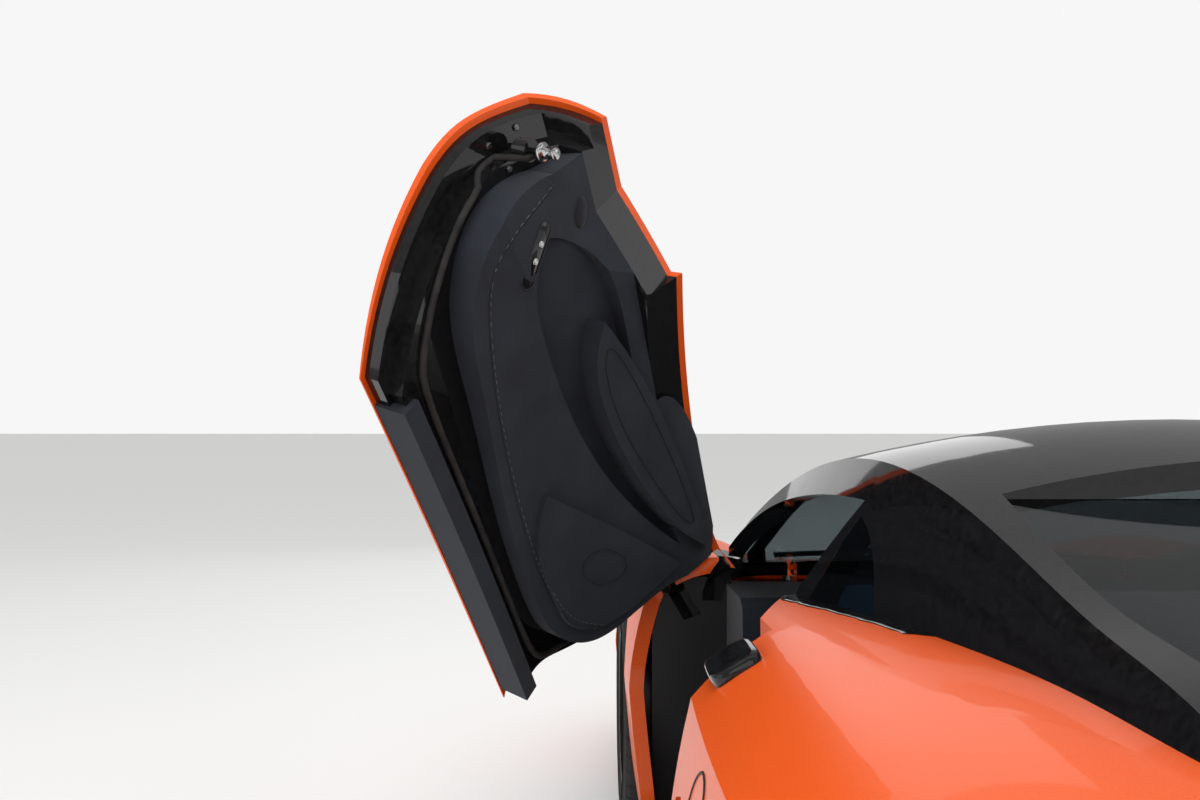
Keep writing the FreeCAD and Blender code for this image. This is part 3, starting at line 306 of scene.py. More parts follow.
# Placing: the left door is dressed where it is closed and then swung open, the right one mirrored
HINGE = Vector((0.800, -0.880, 0.650))
HINGE_AXIS = Vector((0.76, -0.466, -0.45)).normalized()
OPEN = math.radians(56.5)
OPENED = Matrix.Translation(HINGE) @ Matrix.Rotation(OPEN, 4, HINGE_AXIS) @ Matrix.Translation(-HINGE)
MIRROR = Matrix.Diagonal((-1, 1, 1, 1))
AS_IS = Matrix.Identity(4)
DOORS = (("left", OPENED), ("right", MIRROR))
SIDES = (("left", AS_IS), ("right", MIRROR))
SIGNS = (("left", 1), ("right", -1))


def piece(name, shape, material, body, place=AS_IS, smooth=True):
    """A mesh of (points, faces) that rides on a body."""
    points, faces = shape
    points = [tuple(place @ Vector(p)) for p in points]
    if place.determinant() < 0:
        faces = [tuple(reversed(f)) for f in faces]
    mesh = bpy.data.meshes.new(name)
    mesh.from_pydata(points, [], faces)
    mesh.materials.append(material)
    mesh.validate()
    for polygon in mesh.polygons:
        polygon.use_smooth = smooth
    thing = bpy.data.objects.new(name, mesh)
    bpy.context.scene.collection.objects.link(thing)
    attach(thing, body)
    return thing


def joined(*shapes):
    points, faces = [], []
    for more, flat in shapes:
        shift = len(points)
        points.extend(more)
        faces.extend(tuple(i + shift for i in face) for face in flat)
    return points, faces


def across(direction):
    """Two unit vectors square to a direction."""
    direction = Vector(direction).normalized()
    side = direction.cross(Vector((0, 0, 1)))
    if side.length < 0.1:
        side = direction.cross(Vector((0, 1, 0)))
    side.normalize()
    return side, direction.cross(side).normalized()


def tube(path, radius, sides=8, closed=False):
    """A round bar along a path."""
    path = [Vector(p) for p in path]
    n = len(path)
    points, faces = [], []
    side = None
    for i, here in enumerate(path):
        ahead = path[(i + 1) % n] if closed or i < n - 1 else here
        behind = path[i - 1] if closed or i > 0 else here
        way = (ahead - behind).normalized()
        if side is None:
            side = across(way)[0]
        side = (side - way * side.dot(way)).normalized()
        up = way.cross(side)
        for k in range(sides):
            a = 2 * math.pi * k / sides
            points.append(here + (side * math.cos(a) + up * math.sin(a)) * radius)
    for i in range(n if closed else n - 1):
        j = (i + 1) % n
        for k in range(sides):
            m = (k + 1) % sides
            faces.append((i * sides + k, i * sides + m, j * sides + m, j * sides + k))
    if not closed:
        faces.append(tuple(range(sides))[::-1])
        faces.append(tuple((n - 1) * sides + k for k in range(sides)))
    return points, faces


def hoop(centre, axis, radius, thickness, steps=48, sides=8):
    u, v = across(axis)
    centre = Vector(centre)
    path = []
    for i in range(steps):
        a = 2 * math.pi * i / steps
        path.append(centre + (u * math.cos(a) + v * math.sin(a)) * radius)
    return tube(path, thickness, sides, True)


def turned(profile, centre, axis, steps=40):
    """A profile of (along, radius) turned about an axis; its ends are closed."""
    u, v = across(axis)
    axis, centre = Vector(axis).normalized(), Vector(centre)
    points, faces = [], []
    for along, radius in profile:
        for i in range(steps):
            a = 2 * math.pi * i / steps
            points.append(centre + axis * along + (u * math.cos(a) + v * math.sin(a)) * radius)
    for k in range(len(profile) - 1):
        for i in range(steps):
            j = (i + 1) % steps
            faces.append((k * steps + i, k * steps + j, (k + 1) * steps + j, (k + 1) * steps + i))
    faces.append(tuple(range(steps))[::-1])
    faces.append(tuple((len(profile) - 1) * steps + i for i in range(steps)))
    return points, faces


def plate(outline, offset, bevel=0.15):
    """A flat or slightly curved outline of 3D points raised by offset, its upper edge drawn in a little."""
    outline = [Vector(p) for p in outline]
    offset = Vector(offset)
    n = len(outline)
    centre = sum(outline, Vector()) / n
    reach = offset.length * bevel
    low = outline
    mid = [p + offset * (1 - bevel) for p in outline]
    top = [p + offset + (centre - p).normalized() * reach * 2 for p in outline]
    points = low + mid + top
    faces = [tuple(range(n))[::-1], tuple(2 * n + i for i in range(n))]
    for k in range(2):
        for i in range(n):
            j = (i + 1) % n
            faces.append((k * n + i, k * n + j, (k + 1) * n + j, (k + 1) * n + i))
    return points, faces


def block(x0, x1, y0, y1, z0, z1):
    outline = [(x0, y0, z0), (x1, y0, z0), (x1, y1, z0), (x0, y1, z0)]
    return plate(outline, (0, 0, z1 - z0), 0.04)


def pad(size, crown=0.35, steps=28):
    """A stuffed form about the origin: a box with soft edges and crowned faces."""
    points, faces = [], []
    rings = steps // 2

    def power(value):
        return math.copysign(abs(value) ** crown, value)

    for i in range(1, rings):
        polar = math.pi * i / rings
        for k in range(steps):
            a = 2 * math.pi * k / steps
            flat = power(math.sin(polar))
            points.append(Vector((size[0] / 2 * flat * power(math.cos(a)),
                                  size[1] / 2 * flat * power(math.sin(a)),
                                  size[2] / 2 * power(math.cos(polar)))))
    points += [Vector((0, 0, size[2] / 2 * 1.04)), Vector((0, 0, -size[2] / 2))]
    top, low = len(points) - 2, len(points) - 1
    for k in range(steps):
        m = (k + 1) % steps
        faces.append((top, k, m))
        faces.append((low, (rings - 2) * steps + m, (rings - 2) * steps + k))
        for i in range(rings - 2):
            faces.append((i * steps + k, (i + 1) * steps + k, (i + 1) * steps + m, i * steps + m))
    return points, faces


def moved(shape, at, turn=(0, 0, 0)):
    where = Matrix.Translation(at) @ Euler([math.radians(t) for t in turn]).to_matrix().to_4x4()
    return [where @ Vector(p) for p in shape[0]], shape[1]


def meets(node, start, way):
    """Where a ray meets a CAD node, and the surface's normal there; None where it misses."""
    thing = NODES[node]
    into = thing.matrix_world.inverted()
    hit, at, normal, _ = thing.ray_cast(into @ Vector(start), (into.to_3x3() @ Vector(way)).normalized())
    if not hit:
        return None
    return thing.matrix_world @ at, (thing.matrix_world.to_3x3() @ normal).normalized()


def spread(points, gap, closed=False):
    """More points along a run of straight pieces."""
    points = [Vector(p) for p in points]
    if closed:
        points.append(points[0])
    out = []
    for a, b in zip(points, points[1:]):
        n = max(1, round((b - a).length / gap))
        out += [a.lerp(b, i / n) for i in range(n)]
    if not closed:
        out.append(points[-1])
    return out


def smoothed(points, closed=True, rounds=3):
    """Corner cutting: a smooth run through a rough outline."""
    points = [Vector(p) for p in points]
    for _ in range(rounds):
        out = [] if closed else [points[0]]
        last = len(points) if closed else len(points) - 1
        for i in range(last):
            a, b = points[i], points[(i + 1) % len(points)]
            out += [a.lerp(b, 0.25), a.lerp(b, 0.75)]
        if not closed:
            out.append(points[-1])
        points = out
    return points


def ellipse(y, z, a, b, tilt=0, steps=28):
    """Points of (y, z) round an ellipse."""
    turn = math.radians(tilt)
    out = []
    for i in range(steps):
        t = 2 * math.pi * i / steps
        u, v = a * math.cos(t), b * math.sin(t)
        out.append((y + u * math.cos(turn) - v * math.sin(turn), z + u * math.sin(turn) + v * math.cos(turn)))
    return out


def pill(p, q, half, steps=10):
    """Points of (y, z) round a slot with round ends."""
    p, q = Vector(p), Vector(q)
    way = (q - p).normalized()
    side = Vector((-way.y, way.x))
    out = []
    for end, sign in ((q, 1), (p, -1)):
        for i in range(steps + 1):
            a = math.pi * i / steps - math.pi / 2
            out.append(tuple(end + (way * math.cos(a) * sign + side * math.sin(a) * sign) * half))
    return out


def on_trim(outline, node="door_right_card", lift=0.0):
    """Points of (y, z) on the closed left door's inner face, found on its mirror image, the right door."""
    out = []
    for y, z in outline:
        found = meets(node, (-0.30, y, z), (-1, 0, 0))
        if found:
            out.append(Vector((-found[0].x - lift, y, z)))
    return out


# Door trim, pull and latch: outlines in (y, z) of the closed left door
SWITCH_TOP, SWITCH_FOOT = (0.348, 0.493), (0.288, 0.409)
SWITCHES = pill(SWITCH_TOP, SWITCH_FOOT, 0.017)
BUTTON = ellipse(0.318, 0.603, 0.030, 0.019, 25)
POCKET_DISH = ellipse(-0.505, 0.372, 0.085, 0.042, -38)
BLADE_LINE = [(0.045, 0.545), (-0.08, 0.580), (-0.37, 0.630), (-0.62, 0.655), (-0.58, 0.620),
              (-0.41, 0.570), (-0.17, 0.515), (0.0, 0.512)]
TRIM_SEAM = [(0.405, 0.545), (0.380, 0.370), (0.312, 0.305), (0.125, 0.254), (-0.10, 0.217),
             (-0.385, 0.200), (-0.555, 0.226), (-0.672, 0.312)]
STITCH_OFF = 0.007
SEAL_PATH = [(0.440, 0.610), (0.470, 0.560), (0.478, 0.500), (0.462, 0.430), (0.425, 0.340),
             (0.365, 0.250), (0.290, 0.170), (0.225, 0.132), (-0.10, 0.130), (-0.45, 0.130),
             (-0.600, 0.140), (-0.640, 0.180), (-0.672, 0.240), (-0.735, 0.330), (-0.775, 0.420),
             (-0.790, 0.520)]
SEAL_LEAST_X = 0.70
LATCH = (0.478, 0.556)
LATCH_PROFILE = [(-0.001, 0.019), (0.006, 0.019), (0.008, 0.016), (0.009, 0.009), (0.028, 0.008),
                 (0.030, 0.012), (0.036, 0.012), (0.038, 0.009)]
LATCH_BOLTS = ((0.500, 0.520), (0.500, 0.592), (0.455, 0.520))
# Mirror glass in (x, z), and the handle's corners in (y, z)
MIRROR_OUTLINE = [(0.905, 0.770), (1.018, 0.788), (1.024, 0.842), (0.996, 0.860), (0.918, 0.840)]
MIRROR_Y = -0.5845
HANDLE = [(0.20, 0.545), (0.36, 0.552), (0.36, 0.530), (0.20, 0.523)]
HANDLE_X = 0.9372
INWARD = (-1, 0, 0)


def softened(outline, closed=True, rounds=3):
    """Corner cutting for an outline of (y, z)."""
    return smoothed([(y, z, 0) for y, z in outline], closed, rounds)


def pairs(points):
    return [(p.x, p.y) for p in points]


def dress_door(side, place):
    body = "door_" + side

    def put(name, shape, material, smooth=True):
        return piece(body + "_" + name, shape, material, body, place, smooth)

    strip = on_trim(SWITCHES)
    put("switch_strip", plate(strip, (-0.0015, 0, 0)), BLACK)
    put("switch_rim", tube(on_trim(SWITCHES, lift=0.0008), 0.0014, 6, True), PLASTIC)
    buttons = []
    for share in (0.28, 0.62):
        y, z = 0.348 - 0.060 * share, 0.493 - 0.084 * share
        at = on_trim([(y, z)], lift=0.0012)[0]
        profile = [(0, 0.0075), (0.002, 0.0075), (0.003, 0.006), (0.0024, 0.004)]
        buttons.append(turned(profile, at, INWARD, 24))
    put("switch_buttons", joined(*buttons), CHROME)
    put("oval_button", plate(on_trim(BUTTON), (-0.003, 0, 0), 0.4), TRIM_DARK)
    put("oval_rim", tube(on_trim(BUTTON, lift=0.0006), 0.0012, 6, True), PLASTIC)
    dish = on_trim(POCKET_DISH, lift=0.0004)
    put("pocket_dish", tube(dish, 0.0016, 6, True), TRIM_DARK)
    line = pairs(softened(BLADE_LINE))
    put("blade_line", tube(on_trim(line, lift=0.0003), 0.0016, 6, True), TRIM_DARK)
    seam = pairs(spread(softened(TRIM_SEAM, False), 0.01))
    put("trim_seam", tube(on_trim(seam, lift=0.0002), 0.0012, 6), TRIM_DARK)
    stitches = []
    for start, stop in list(zip(seam, seam[1:]))[::2]:
        ends = on_trim([(y + STITCH_OFF, z + STITCH_OFF) for y, z in (start, stop)], lift=0.0006)
        if len(ends) == 2 and (ends[0] - ends[1]).length < 0.02:
            stitches.append(tube(ends, 0.0007, 5))
    put("stitches", joined(*stitches), THREAD)
    path = pairs(spread(softened(SEAL_PATH, False, 2), 0.02))
    seal = on_trim(path, "door_right_inner", 0.004)
    put("seal", tube([p for p in seal if p.x > SEAL_LEAST_X], 0.007, 8), RUBBER)
    boss = on_trim([LATCH], "door_right_inner")[0]
    pin = turned(LATCH_PROFILE, (boss.x + 0.001, *LATCH), INWARD, 24)
    put("latch_pin", pin, CHROME)
    bolts = [turned([(0, 0.0075), (0.003, 0.0075), (0.0045, 0.005)], at, INWARD, 6)
             for at in on_trim(LATCH_BOLTS, "door_right_inner")]
    put("latch_bolts", joined(*bolts), STEEL, False)
    outline = smoothed([(x, MIRROR_Y, z) for x, z in MIRROR_OUTLINE], True, 2)
    put("mirror_glass", plate(outline, (0, 0.0022, 0)), MIRROR_GLASS)
    rim = [p + Vector((0, 0.001, 0)) for p in outline]
    put("mirror_rim", tube(rim, 0.0022, 6, True), PLASTIC)
    skin = []
    for p in smoothed([(HANDLE_X, y, z) for y, z in HANDLE], True, 2):
        found = meets("door_right_shell", (-1.3, p.y, p.z), (1, 0, 0))
        if found:
            skin.append(Vector((-found[0].x + 0.0004, p.y, p.z)))
    put("handle_line", tube(skin, 0.0014, 6, True), PLASTIC)


# Body details
DOWN = (0, 0, -1)
OVER_ROOF, OVER_BODY = 1.5, 1.2
BAR_THICK, BAR_END = 0.004, 0.008
# Openings, outlines in (x, z)
NOSE_INTAKE = [(0.330, 0.084), (0.590, 0.092), (0.696, 0.178), (0.662, 0.232), (0.470, 0.204),
               (0.352, 0.150)]
NOSE_SLOT = [(-0.250, 0.080), (0.250, 0.080), (0.214, 0.150), (-0.214, 0.150)]
TAIL_OUTLET = [(0.345, 0.405), (0.690, 0.412), (0.716, 0.498), (0.600, 0.512), (0.345, 0.498)]
TAIL_GRILLE = [(-0.300, 0.562), (0.300, 0.562), (0.276, 0.650), (-0.276, 0.650)]
INTAKE_Y, SLOT_Y, TAIL_Y = -2.300, -2.350, 2.116
# Windscreen's right edge in (x, y)
SCREEN = [(0.600, -0.985), (0.634, -0.800), (0.600, -0.560), (0.545, -0.300)]
SCREEN_CENTRE = Vector((0, -0.66, 0))
SCREEN_LEAST_Z = 0.6
FUEL_FLAP = ellipse(0.905, 0.610, 0.078, 0.066)
WIPERS = (("long", (0.05, -1.000), (0.54, -0.880)), ("short", (-0.42, -1.000), (0.02, -0.910)))
DAYLIGHT = ((0.610, -2.095), (0.690, -2.050), (0.765, -1.975), (0.830, -1.890))
LAMP_EYES = ((0.640, -2.070), (0.700, -2.018), (0.760, -1.955))
EYE_PROFILE = [(-0.004, 0.016), (0.001, 0.016), (0.003, 0.012), (0.0036, 0.006)]
TIP_PROFILE = [(0, 0.050), (0.0, 0.0565), (0.012, 0.0575), (0.016, 0.0555), (0.017, 0.0505),
               (0.012, 0.047), (0.0, 0.047)]
PLATE_HALF, PLATE_CUT, PLATE_Y = 0.262, 0.012, 2.1505
PLATE_LOW, PLATE_MID, PLATE_HIGH = 0.272, 0.330, 0.388
SILL_LIP = [(0.748, -0.83, 0.256), (0.758, -0.66, 0.256), (0.758, 0.30, 0.256), (0.758, 0.43, 0.256)]
CATCH_X, CATCH_Y = 0.838, 0.575
# Black strip along the belt: number and pitch of its sections, width, thickness, lift off the paint
STRIP_ROWS, STRIP_PITCH, STRIP_COLUMNS = 27, 0.022, 5
STRIP_WIDE, STRIP_THICK, STRIP_LIFT = 0.045, 0.0016, 0.0012
STRIP_START_Y, STRIP_INNER_X, STRIP_PROBES = 0.100, 0.560, 40


def laid(node, outline, way, lift):
    """A run of points sent along a direction onto a node and lifted off it."""
    out = []
    for p in outline:
        found = meets(node, p, way)
        if found:
            at, normal = found
            if normal.dot(Vector(way)) > 0:
                normal = -normal
            out.append(at + normal * lift)
    return out


def ribbon(inner, outer):
    """A closed band between two runs of equally many points."""
    n = min(len(inner), len(outer))
    faces = []
    for i in range(n):
        j = (i + 1) % n
        faces.append((i, j, n + j, n + i))
    return list(inner[:n]) + list(outer[:n]), faces


def bars(outline, pitch, upright=False):
    """Grille bars across an outline, level or upright: start, stop, lower side, upper side of each."""
    if upright:
        outline = [(b, a) for a, b in outline]
    levels = [b for _, b in outline]
    spans = []
    value = min(levels) + pitch / 2
    while value < max(levels):
        hits = []
        for (a0, b0), (a1, b1) in zip(outline, outline[1:] + outline[:1]):
            if (b0 - value) * (b1 - value) < 0:
                hits.append(a0 + (a1 - a0) * (value - b0) / (b1 - b0))
        hits.sort()
        for start, stop in zip(hits[::2], hits[1::2]):
            spans.append((start - BAR_END, stop + BAR_END, value - BAR_THICK / 2, value + BAR_THICK / 2))
        value += pitch
    return spans


def grille(name, outline, y, pitch, depth):
    """A net of bars behind an opening in the nose or the tail."""
    shapes = [block(a, b, y, y + depth, c, d) for a, b, c, d in bars(outline, pitch)]
    for a, b, c, d in bars(outline, pitch * 1.3, True):
        shapes.append(block(c, d, y + 0.0005, y + depth - 0.0005, a, b))
    piece(name, joined(*shapes), PLASTIC, "chassis", AS_IS, False)


def dress_openings():
    for side, sign in SIGNS:
        grille("nose_net_" + side, [(sign * x, z) for x, z in NOSE_INTAKE], INTAKE_Y, 0.016, 0.005)
        grille("tail_net_" + side, [(sign * x, z) for x, z in TAIL_OUTLET], TAIL_Y, 0.016, 0.004)
    grille("nose_slot_net", NOSE_SLOT, SLOT_Y, 0.014, 0.005)
    grille("tail_grille_net", TAIL_GRILLE, TAIL_Y, 0.013, 0.004)
    ring = laid("haunches", [(1.25, y, z) for y, z in FUEL_FLAP], INWARD, 0.0002)
    piece("fuel_flap_gap", tube(ring, 0.0018, 6, True), PLASTIC, "chassis")


def dress_screen():
    """The black border printed along the windscreen's edge, and the wipers."""
    right = spread([(x, y, 0) for x, y in SCREEN], 0.04)
    left = [Vector((-p.x, p.y, 0)) for p in reversed(right)]
    outer, inner = [], []
    for p in spread(right + left, 0.04, True):
        edge = p.lerp(SCREEN_CENTRE, 0.012)
        inset = p.lerp(SCREEN_CENTRE, 0.085)
        a = meets("windows", (edge.x, edge.y, OVER_ROOF), DOWN)
        b = meets("windows", (inset.x, inset.y, OVER_ROOF), DOWN)
        if a and b and min(a[0].z, b[0].z) > SCREEN_LEAST_Z:
            outer.append(a[0] + a[1] * 0.0006)
            inner.append(b[0] + b[1] * 0.0006)
    piece("screen_border", ribbon(outer, inner), BLACK, "chassis")

    for name, pivot, tip in WIPERS:
        start, stop = Vector((*pivot, OVER_ROOF)), Vector((*tip, OVER_ROOF))
        run = [start.lerp(stop, i / 12) for i in range(13)]
        arm = laid("windows", run, DOWN, 0.010)
        blade = laid("windows", run[3:], DOWN, 0.004)
        piece("wiper_arm_" + name, tube(arm, 0.005, 8), PLASTIC, "chassis")
        piece("wiper_blade_" + name, tube(blade, 0.004, 6), RUBBER, "chassis")


def dress_lamps():
    """Daylight strips and projector eyes on the headlamps, and the exhaust tips."""
    for side, sign in SIGNS:
        strip = smoothed([(sign * x, y, OVER_BODY) for x, y in DAYLIGHT], False, 2)
        path = laid("headlamps", strip, DOWN, 0.0005)
        piece("daylight_" + side, tube(path, 0.004, 8), GLOW, "chassis")
        eyes = []
        for x, y in LAMP_EYES:
            found = meets("headlamps", (sign * x, y + 0.012, OVER_BODY), DOWN)
            if found:
                eyes.append(turned(EYE_PROFILE, found[0], found[1], 24))
        if eyes:
            piece("lamp_eyes_" + side, joined(*eyes), CHROME, "chassis")
        points, faces = turned(TIP_PROFILE, (sign * 0.110, 2.151, 0.480), (0, 1, 0), 48)
        piece("exhaust_tip_" + side, (points, faces[:-2]), CHROME, "chassis")


def dress_plate():
    outline = []
    for k, (sx, sz) in enumerate(((-1, -1), (1, -1), (1, 1), (-1, 1))):
        x, z = sx * PLATE_HALF, PLATE_LOW if sz < 0 else PLATE_HIGH
        corner = [(x, PLATE_Y, z - sz * PLATE_CUT), (x - sx * PLATE_CUT, PLATE_Y, z)]
        outline += corner if k % 2 == 0 else reversed(corner)
    piece("plate_frame", plate(outline, (0, 0.006, 0)), PLASTIC, "chassis", AS_IS, False)
    inner = [(x * 0.965, 2.1562, PLATE_MID + (z - PLATE_MID) * 0.87) for x, _, z in outline]
    piece("blank_plate", plate(inner, (0, 0.0016, 0)), PLATE, "chassis", AS_IS, False)
    screws = [turned([(0, 0.006), (0.002, 0.006), (0.003, 0.004)], (x, 2.158, PLATE_MID), (0, 1, 0), 12)
              for x in (-0.22, 0.22)]
    piece("plate_screws", joined(*screws), STEEL, "chassis")


def dress_sides():
    """Slats of the side intakes, sill plates with seals, and the doors' latch covers."""
    slats = [block(0.845, 0.890, 0.585, 0.820, 0.355 + i * 0.045, 0.355 + i * 0.045 + 0.005)
             for i in range(5)]
    for side, place in SIDES:
        piece("side_slats_" + side, joined(*slats), PLASTIC, "chassis", place, False)
    sill = [block(0.655, 0.756, -0.62, 0.30, 0.2502, 0.2532)]
    sill += [block(0.668, 0.743, -0.60 + i * 0.05, -0.594 + i * 0.05, 0.2532, 0.2542) for i in range(18)]
    lip = tube(spread(SILL_LIP, 0.05), 0.0065, 8)
    for side, place in SIDES:
        piece("sill_plate_" + side, joined(*sill), SILL, "chassis", place, False)
        piece("sill_seal_" + side, lip, RUBBER, "chassis", place)
    for (side, place), (_, sign) in zip(SIDES, SIGNS):
        top = meets("haunches", (sign * CATCH_X, CATCH_Y, OVER_BODY), DOWN)[0]
        catch = moved(pad((0.080, 0.125, 0.036), 0.45), (CATCH_X, CATCH_Y, top.z + 0.004), (0, 30, 0))
        piece("latch_cover_" + side, catch, BLACK, "chassis", place)


def dress_belt():
    """Black strip along the belt, from the haunch's tip to the buttress."""
    rows = []
    for i in range(STRIP_ROWS):
        y = STRIP_START_Y + i * STRIP_PITCH
        outer = 0.688 + (y - 0.096) * 0.38 if y < 0.29 else 0.757 - (y - 0.29) * 0.16
        row = []
        for k in range(STRIP_PROBES + 1):
            x = outer - k * (outer - STRIP_INNER_X) / STRIP_PROBES
            found = meets("haunches", (x, y, OVER_BODY), DOWN)
            if found:
                row.append(found[0] + found[1] * STRIP_LIFT)
        row = [p for p in row if (p - row[-1]).length < STRIP_WIDE]
        if len(row) >= 2:
            last = STRIP_COLUMNS - 1
            rows.append([row[round(k * (len(row) - 1) / last)] for k in range(STRIP_COLUMNS)])
    upper = [p for row in rows for p in row]
    points = upper + [p - Vector((0, 0, STRIP_THICK)) for p in upper]
    count, wide, faces = len(upper), STRIP_COLUMNS, []
    for left in range(0, count - wide, wide):
        right = left + wide - 1
        for a in range(left, right):
            b = a + 1
            faces += [(a, b, b + wide, a + wide), (count + a, count + a + wide, count + b + wide, count + b)]
        faces += [(left, left + wide, count + left + wide, count + left),
                  (right, count + right, count + right + wide, right + wide)]
    for side, place in SIDES:
        piece("belt_strip_" + side, (points, faces), BLACK, "chassis", place)


# Cabin
SEAT_X, SEAT_LEAN = 0.335, 71
SEAT_PADS = (
    # name, size, place, turn in degrees
    ("cushion", (0.300, 0.400, 0.070), (SEAT_X, -0.125, 0.190), (0, 0, 0)),
    ("thigh", (0.290, 0.110, 0.075), (SEAT_X, -0.285, 0.192), (4, 0, 0)),
    ("back_low", (0.290, 0.230, 0.060), (SEAT_X, 0.125, 0.335), (SEAT_LEAN, 0, 0)),
    ("back_mid", (0.290, 0.180, 0.056), (SEAT_X, 0.188, 0.515), (SEAT_LEAN, 0, 0)),
    ("head", (0.230, 0.120, 0.060), (SEAT_X, 0.240, 0.652), (SEAT_LEAN + 2, 0, 0)),
)
VENT_AXIS = (0, 1, 0.1)
SCREEN_AT, SCREEN_TURN = (0, -0.528, 0.590), (-14, 0, 0)
CONSOLE_TOP = 0.3302
HAND_CENTRE, HAND_AXIS = Vector((0.350, -0.430, 0.590)), Vector((0, 1, 0.42)).normalized()
HAND_RADIUS, HAND_THICK = 0.165, 0.0158


def dress_seat(side, place):
    for name, size, at, turn in SEAT_PADS:
        form = moved(pad(size, 0.42), at, turn)
        piece("seat_%s_%s" % (name, side), form, TRIM, "chassis", place)
    for name, dx in (("in", -0.190), ("out", 0.190)):
        low = moved(pad((0.070, 0.420, 0.080), 0.5), (SEAT_X + dx, -0.090, 0.222), (4, 0, 0))
        high = moved(pad((0.066, 0.340, 0.080), 0.5), (SEAT_X + dx, 0.180, 0.400), (64, 0, 0))
        name = "seat_bolster_%s_%s" % (name, side)
        piece(name, joined(low, high), TRIM_DARK, "chassis", place)
    seams = []
    for z, y in ((0.428, 0.130), (0.600, 0.190)):
        run = [(SEAT_X - 0.135, y, z), (SEAT_X, y - 0.004, z), (SEAT_X + 0.135, y, z)]
        seams.append(tube(run, 0.0016, 6))
    piece("seat_seams_" + side, joined(*seams), THREAD, "chassis", place)
    mat = block(SEAT_X - 0.19, SEAT_X + 0.19, -0.840, -0.400, 0.0302, 0.038)
    piece("floor_mat_" + side, mat, CARPET, "chassis", place, False)


def dress_vent(side, place):
    """A ringed vent on the end of the dash."""
    vent = meets("dashboard", (0.560, -0.30, 0.605), (0, -1, 0))
    if vent:
        at = vent[0] + Vector((0, 0.001, 0))
        rings = joined(hoop(at, VENT_AXIS, 0.033, 0.0032), hoop(at, VENT_AXIS, 0.011, 0.0022))
        piece("vent_ring_" + side, rings, CHROME, "chassis", place)
        blades = [tube([at + Vector((-0.03, 0, dz)), at + Vector((0.03, 0, dz))], 0.0018, 6)
                  for dz in (-0.015, 0, 0.015)]
        dish = turned([(-0.001, 0.032), (0.0006, 0.032)], at, VENT_AXIS, 32)
        piece("vent_dish_" + side, joined(dish, *blades), PLASTIC, "chassis", place)


def dress_controls():
    """Displays, console, arm rest, pedals and the steering wheel's pad and wrap."""
    screen = moved(block(-0.095, 0.095, -0.010, 0.010, -0.062, 0.062), SCREEN_AT, SCREEN_TURN)
    piece("centre_screen", screen, BLACK, "chassis", AS_IS, False)
    glow = moved(block(-0.084, 0.084, 0.0102, 0.0108, -0.052, 0.052), SCREEN_AT, SCREEN_TURN)
    piece("centre_display", glow, DISPLAY, "chassis", AS_IS, False)
    dial = moved(block(-0.105, 0.105, -0.004, 0.004, -0.040, 0.040), (0.350, -0.5265, 0.640), SCREEN_TURN)
    piece("driver_display", dial, DISPLAY, "chassis", AS_IS, False)
    knobs = [turned([(0, 0.016), (0.014, 0.015), (0.017, 0.012)], (0, y, CONSOLE_TOP), (0, 0, 1), 32)
             for y in (-0.20, -0.14)]
    knobs.append(block(-0.030, 0.030, -0.095, 0.100, CONSOLE_TOP, 0.3345))
    piece("console_knobs", joined(*knobs), CHROME, "chassis")
    rest = moved(pad((0.150, 0.230, 0.040), 0.4), (0, 0.265, 0.342))
    piece("arm_rest", rest, TRIM, "chassis")
    for x, wide in ((0.300, 0.075), (0.420, 0.050)):
        arm = tube([(x, -0.890, 0.400), (x, -0.850, 0.300), (x, -0.800, 0.190)], 0.007, 8)
        foot = block(-wide / 2, wide / 2, -0.006, 0.006, -0.045, 0.045)
        foot = moved(foot, (x, -0.796, 0.180), (-28, 0, 0))
        name = "pedal_%d" % round(x * 1000)
        piece(name, joined(arm, foot), STEEL, "chassis", AS_IS, False)
    profile = [(0.0, 0.052), (0.014, 0.050), (0.022, 0.040), (0.025, 0.020)]
    hub = turned(profile, HAND_CENTRE + HAND_AXIS * 0.010, HAND_AXIS, 40)
    piece("wheel_pad", hub, TRIM_DARK, "steering_wheel")
    wrap = hoop(HAND_CENTRE, HAND_AXIS, HAND_RADIUS, HAND_THICK, 96, 16)
    piece("wheel_wrap", wrap, TRIM, "steering_wheel")


# Wheels: centre's x and y, tyre radius, rim radius, half the tyre's width
WHEELS = {"front": (0.825, -1.320, 0.3235, 0.2413, 0.1175), "rear": (0.8065, 1.320, 0.357, 0.254, 0.1475)}
NUTS, NUT_CIRCLE = 5, 0.055
GROOVES = (-0.55, -0.18, 0.18, 0.55)
TREAD_STEPS, TREAD_PERIOD, SIPE_DEPTH = 200, 5, 0.005


def tyre_profile(r_tyre, r_rim, half):
    """Closed profile of (along, radius): side wall, tread with its grooves, other side wall."""
    wall = [
        (-half + 0.022, r_rim + 0.0005), (-half + 0.016, r_rim + 0.012), (-half + 0.004, r_rim + 0.030),
        (-half, r_rim + 0.040), (-half, r_rim + 0.048), (-half + 0.0015, r_rim + 0.050),
        (-half, r_rim + 0.052), (-half, r_tyre - 0.046), (-half + 0.003, r_tyre - 0.028),
        (-half + 0.010, r_tyre - 0.012), (-half + 0.022, r_tyre - 0.003),
    ]
    tread = [(-half + 0.034, r_tyre)]
    for groove in GROOVES:
        at = groove * half
        tread += [(at - 0.0055, r_tyre), (at - 0.0045, r_tyre - 0.007), (at + 0.0045, r_tyre - 0.007),
                  (at + 0.0055, r_tyre)]
    return wall + tread + [(-a, r) for a, r in reversed(wall + tread[:1])]


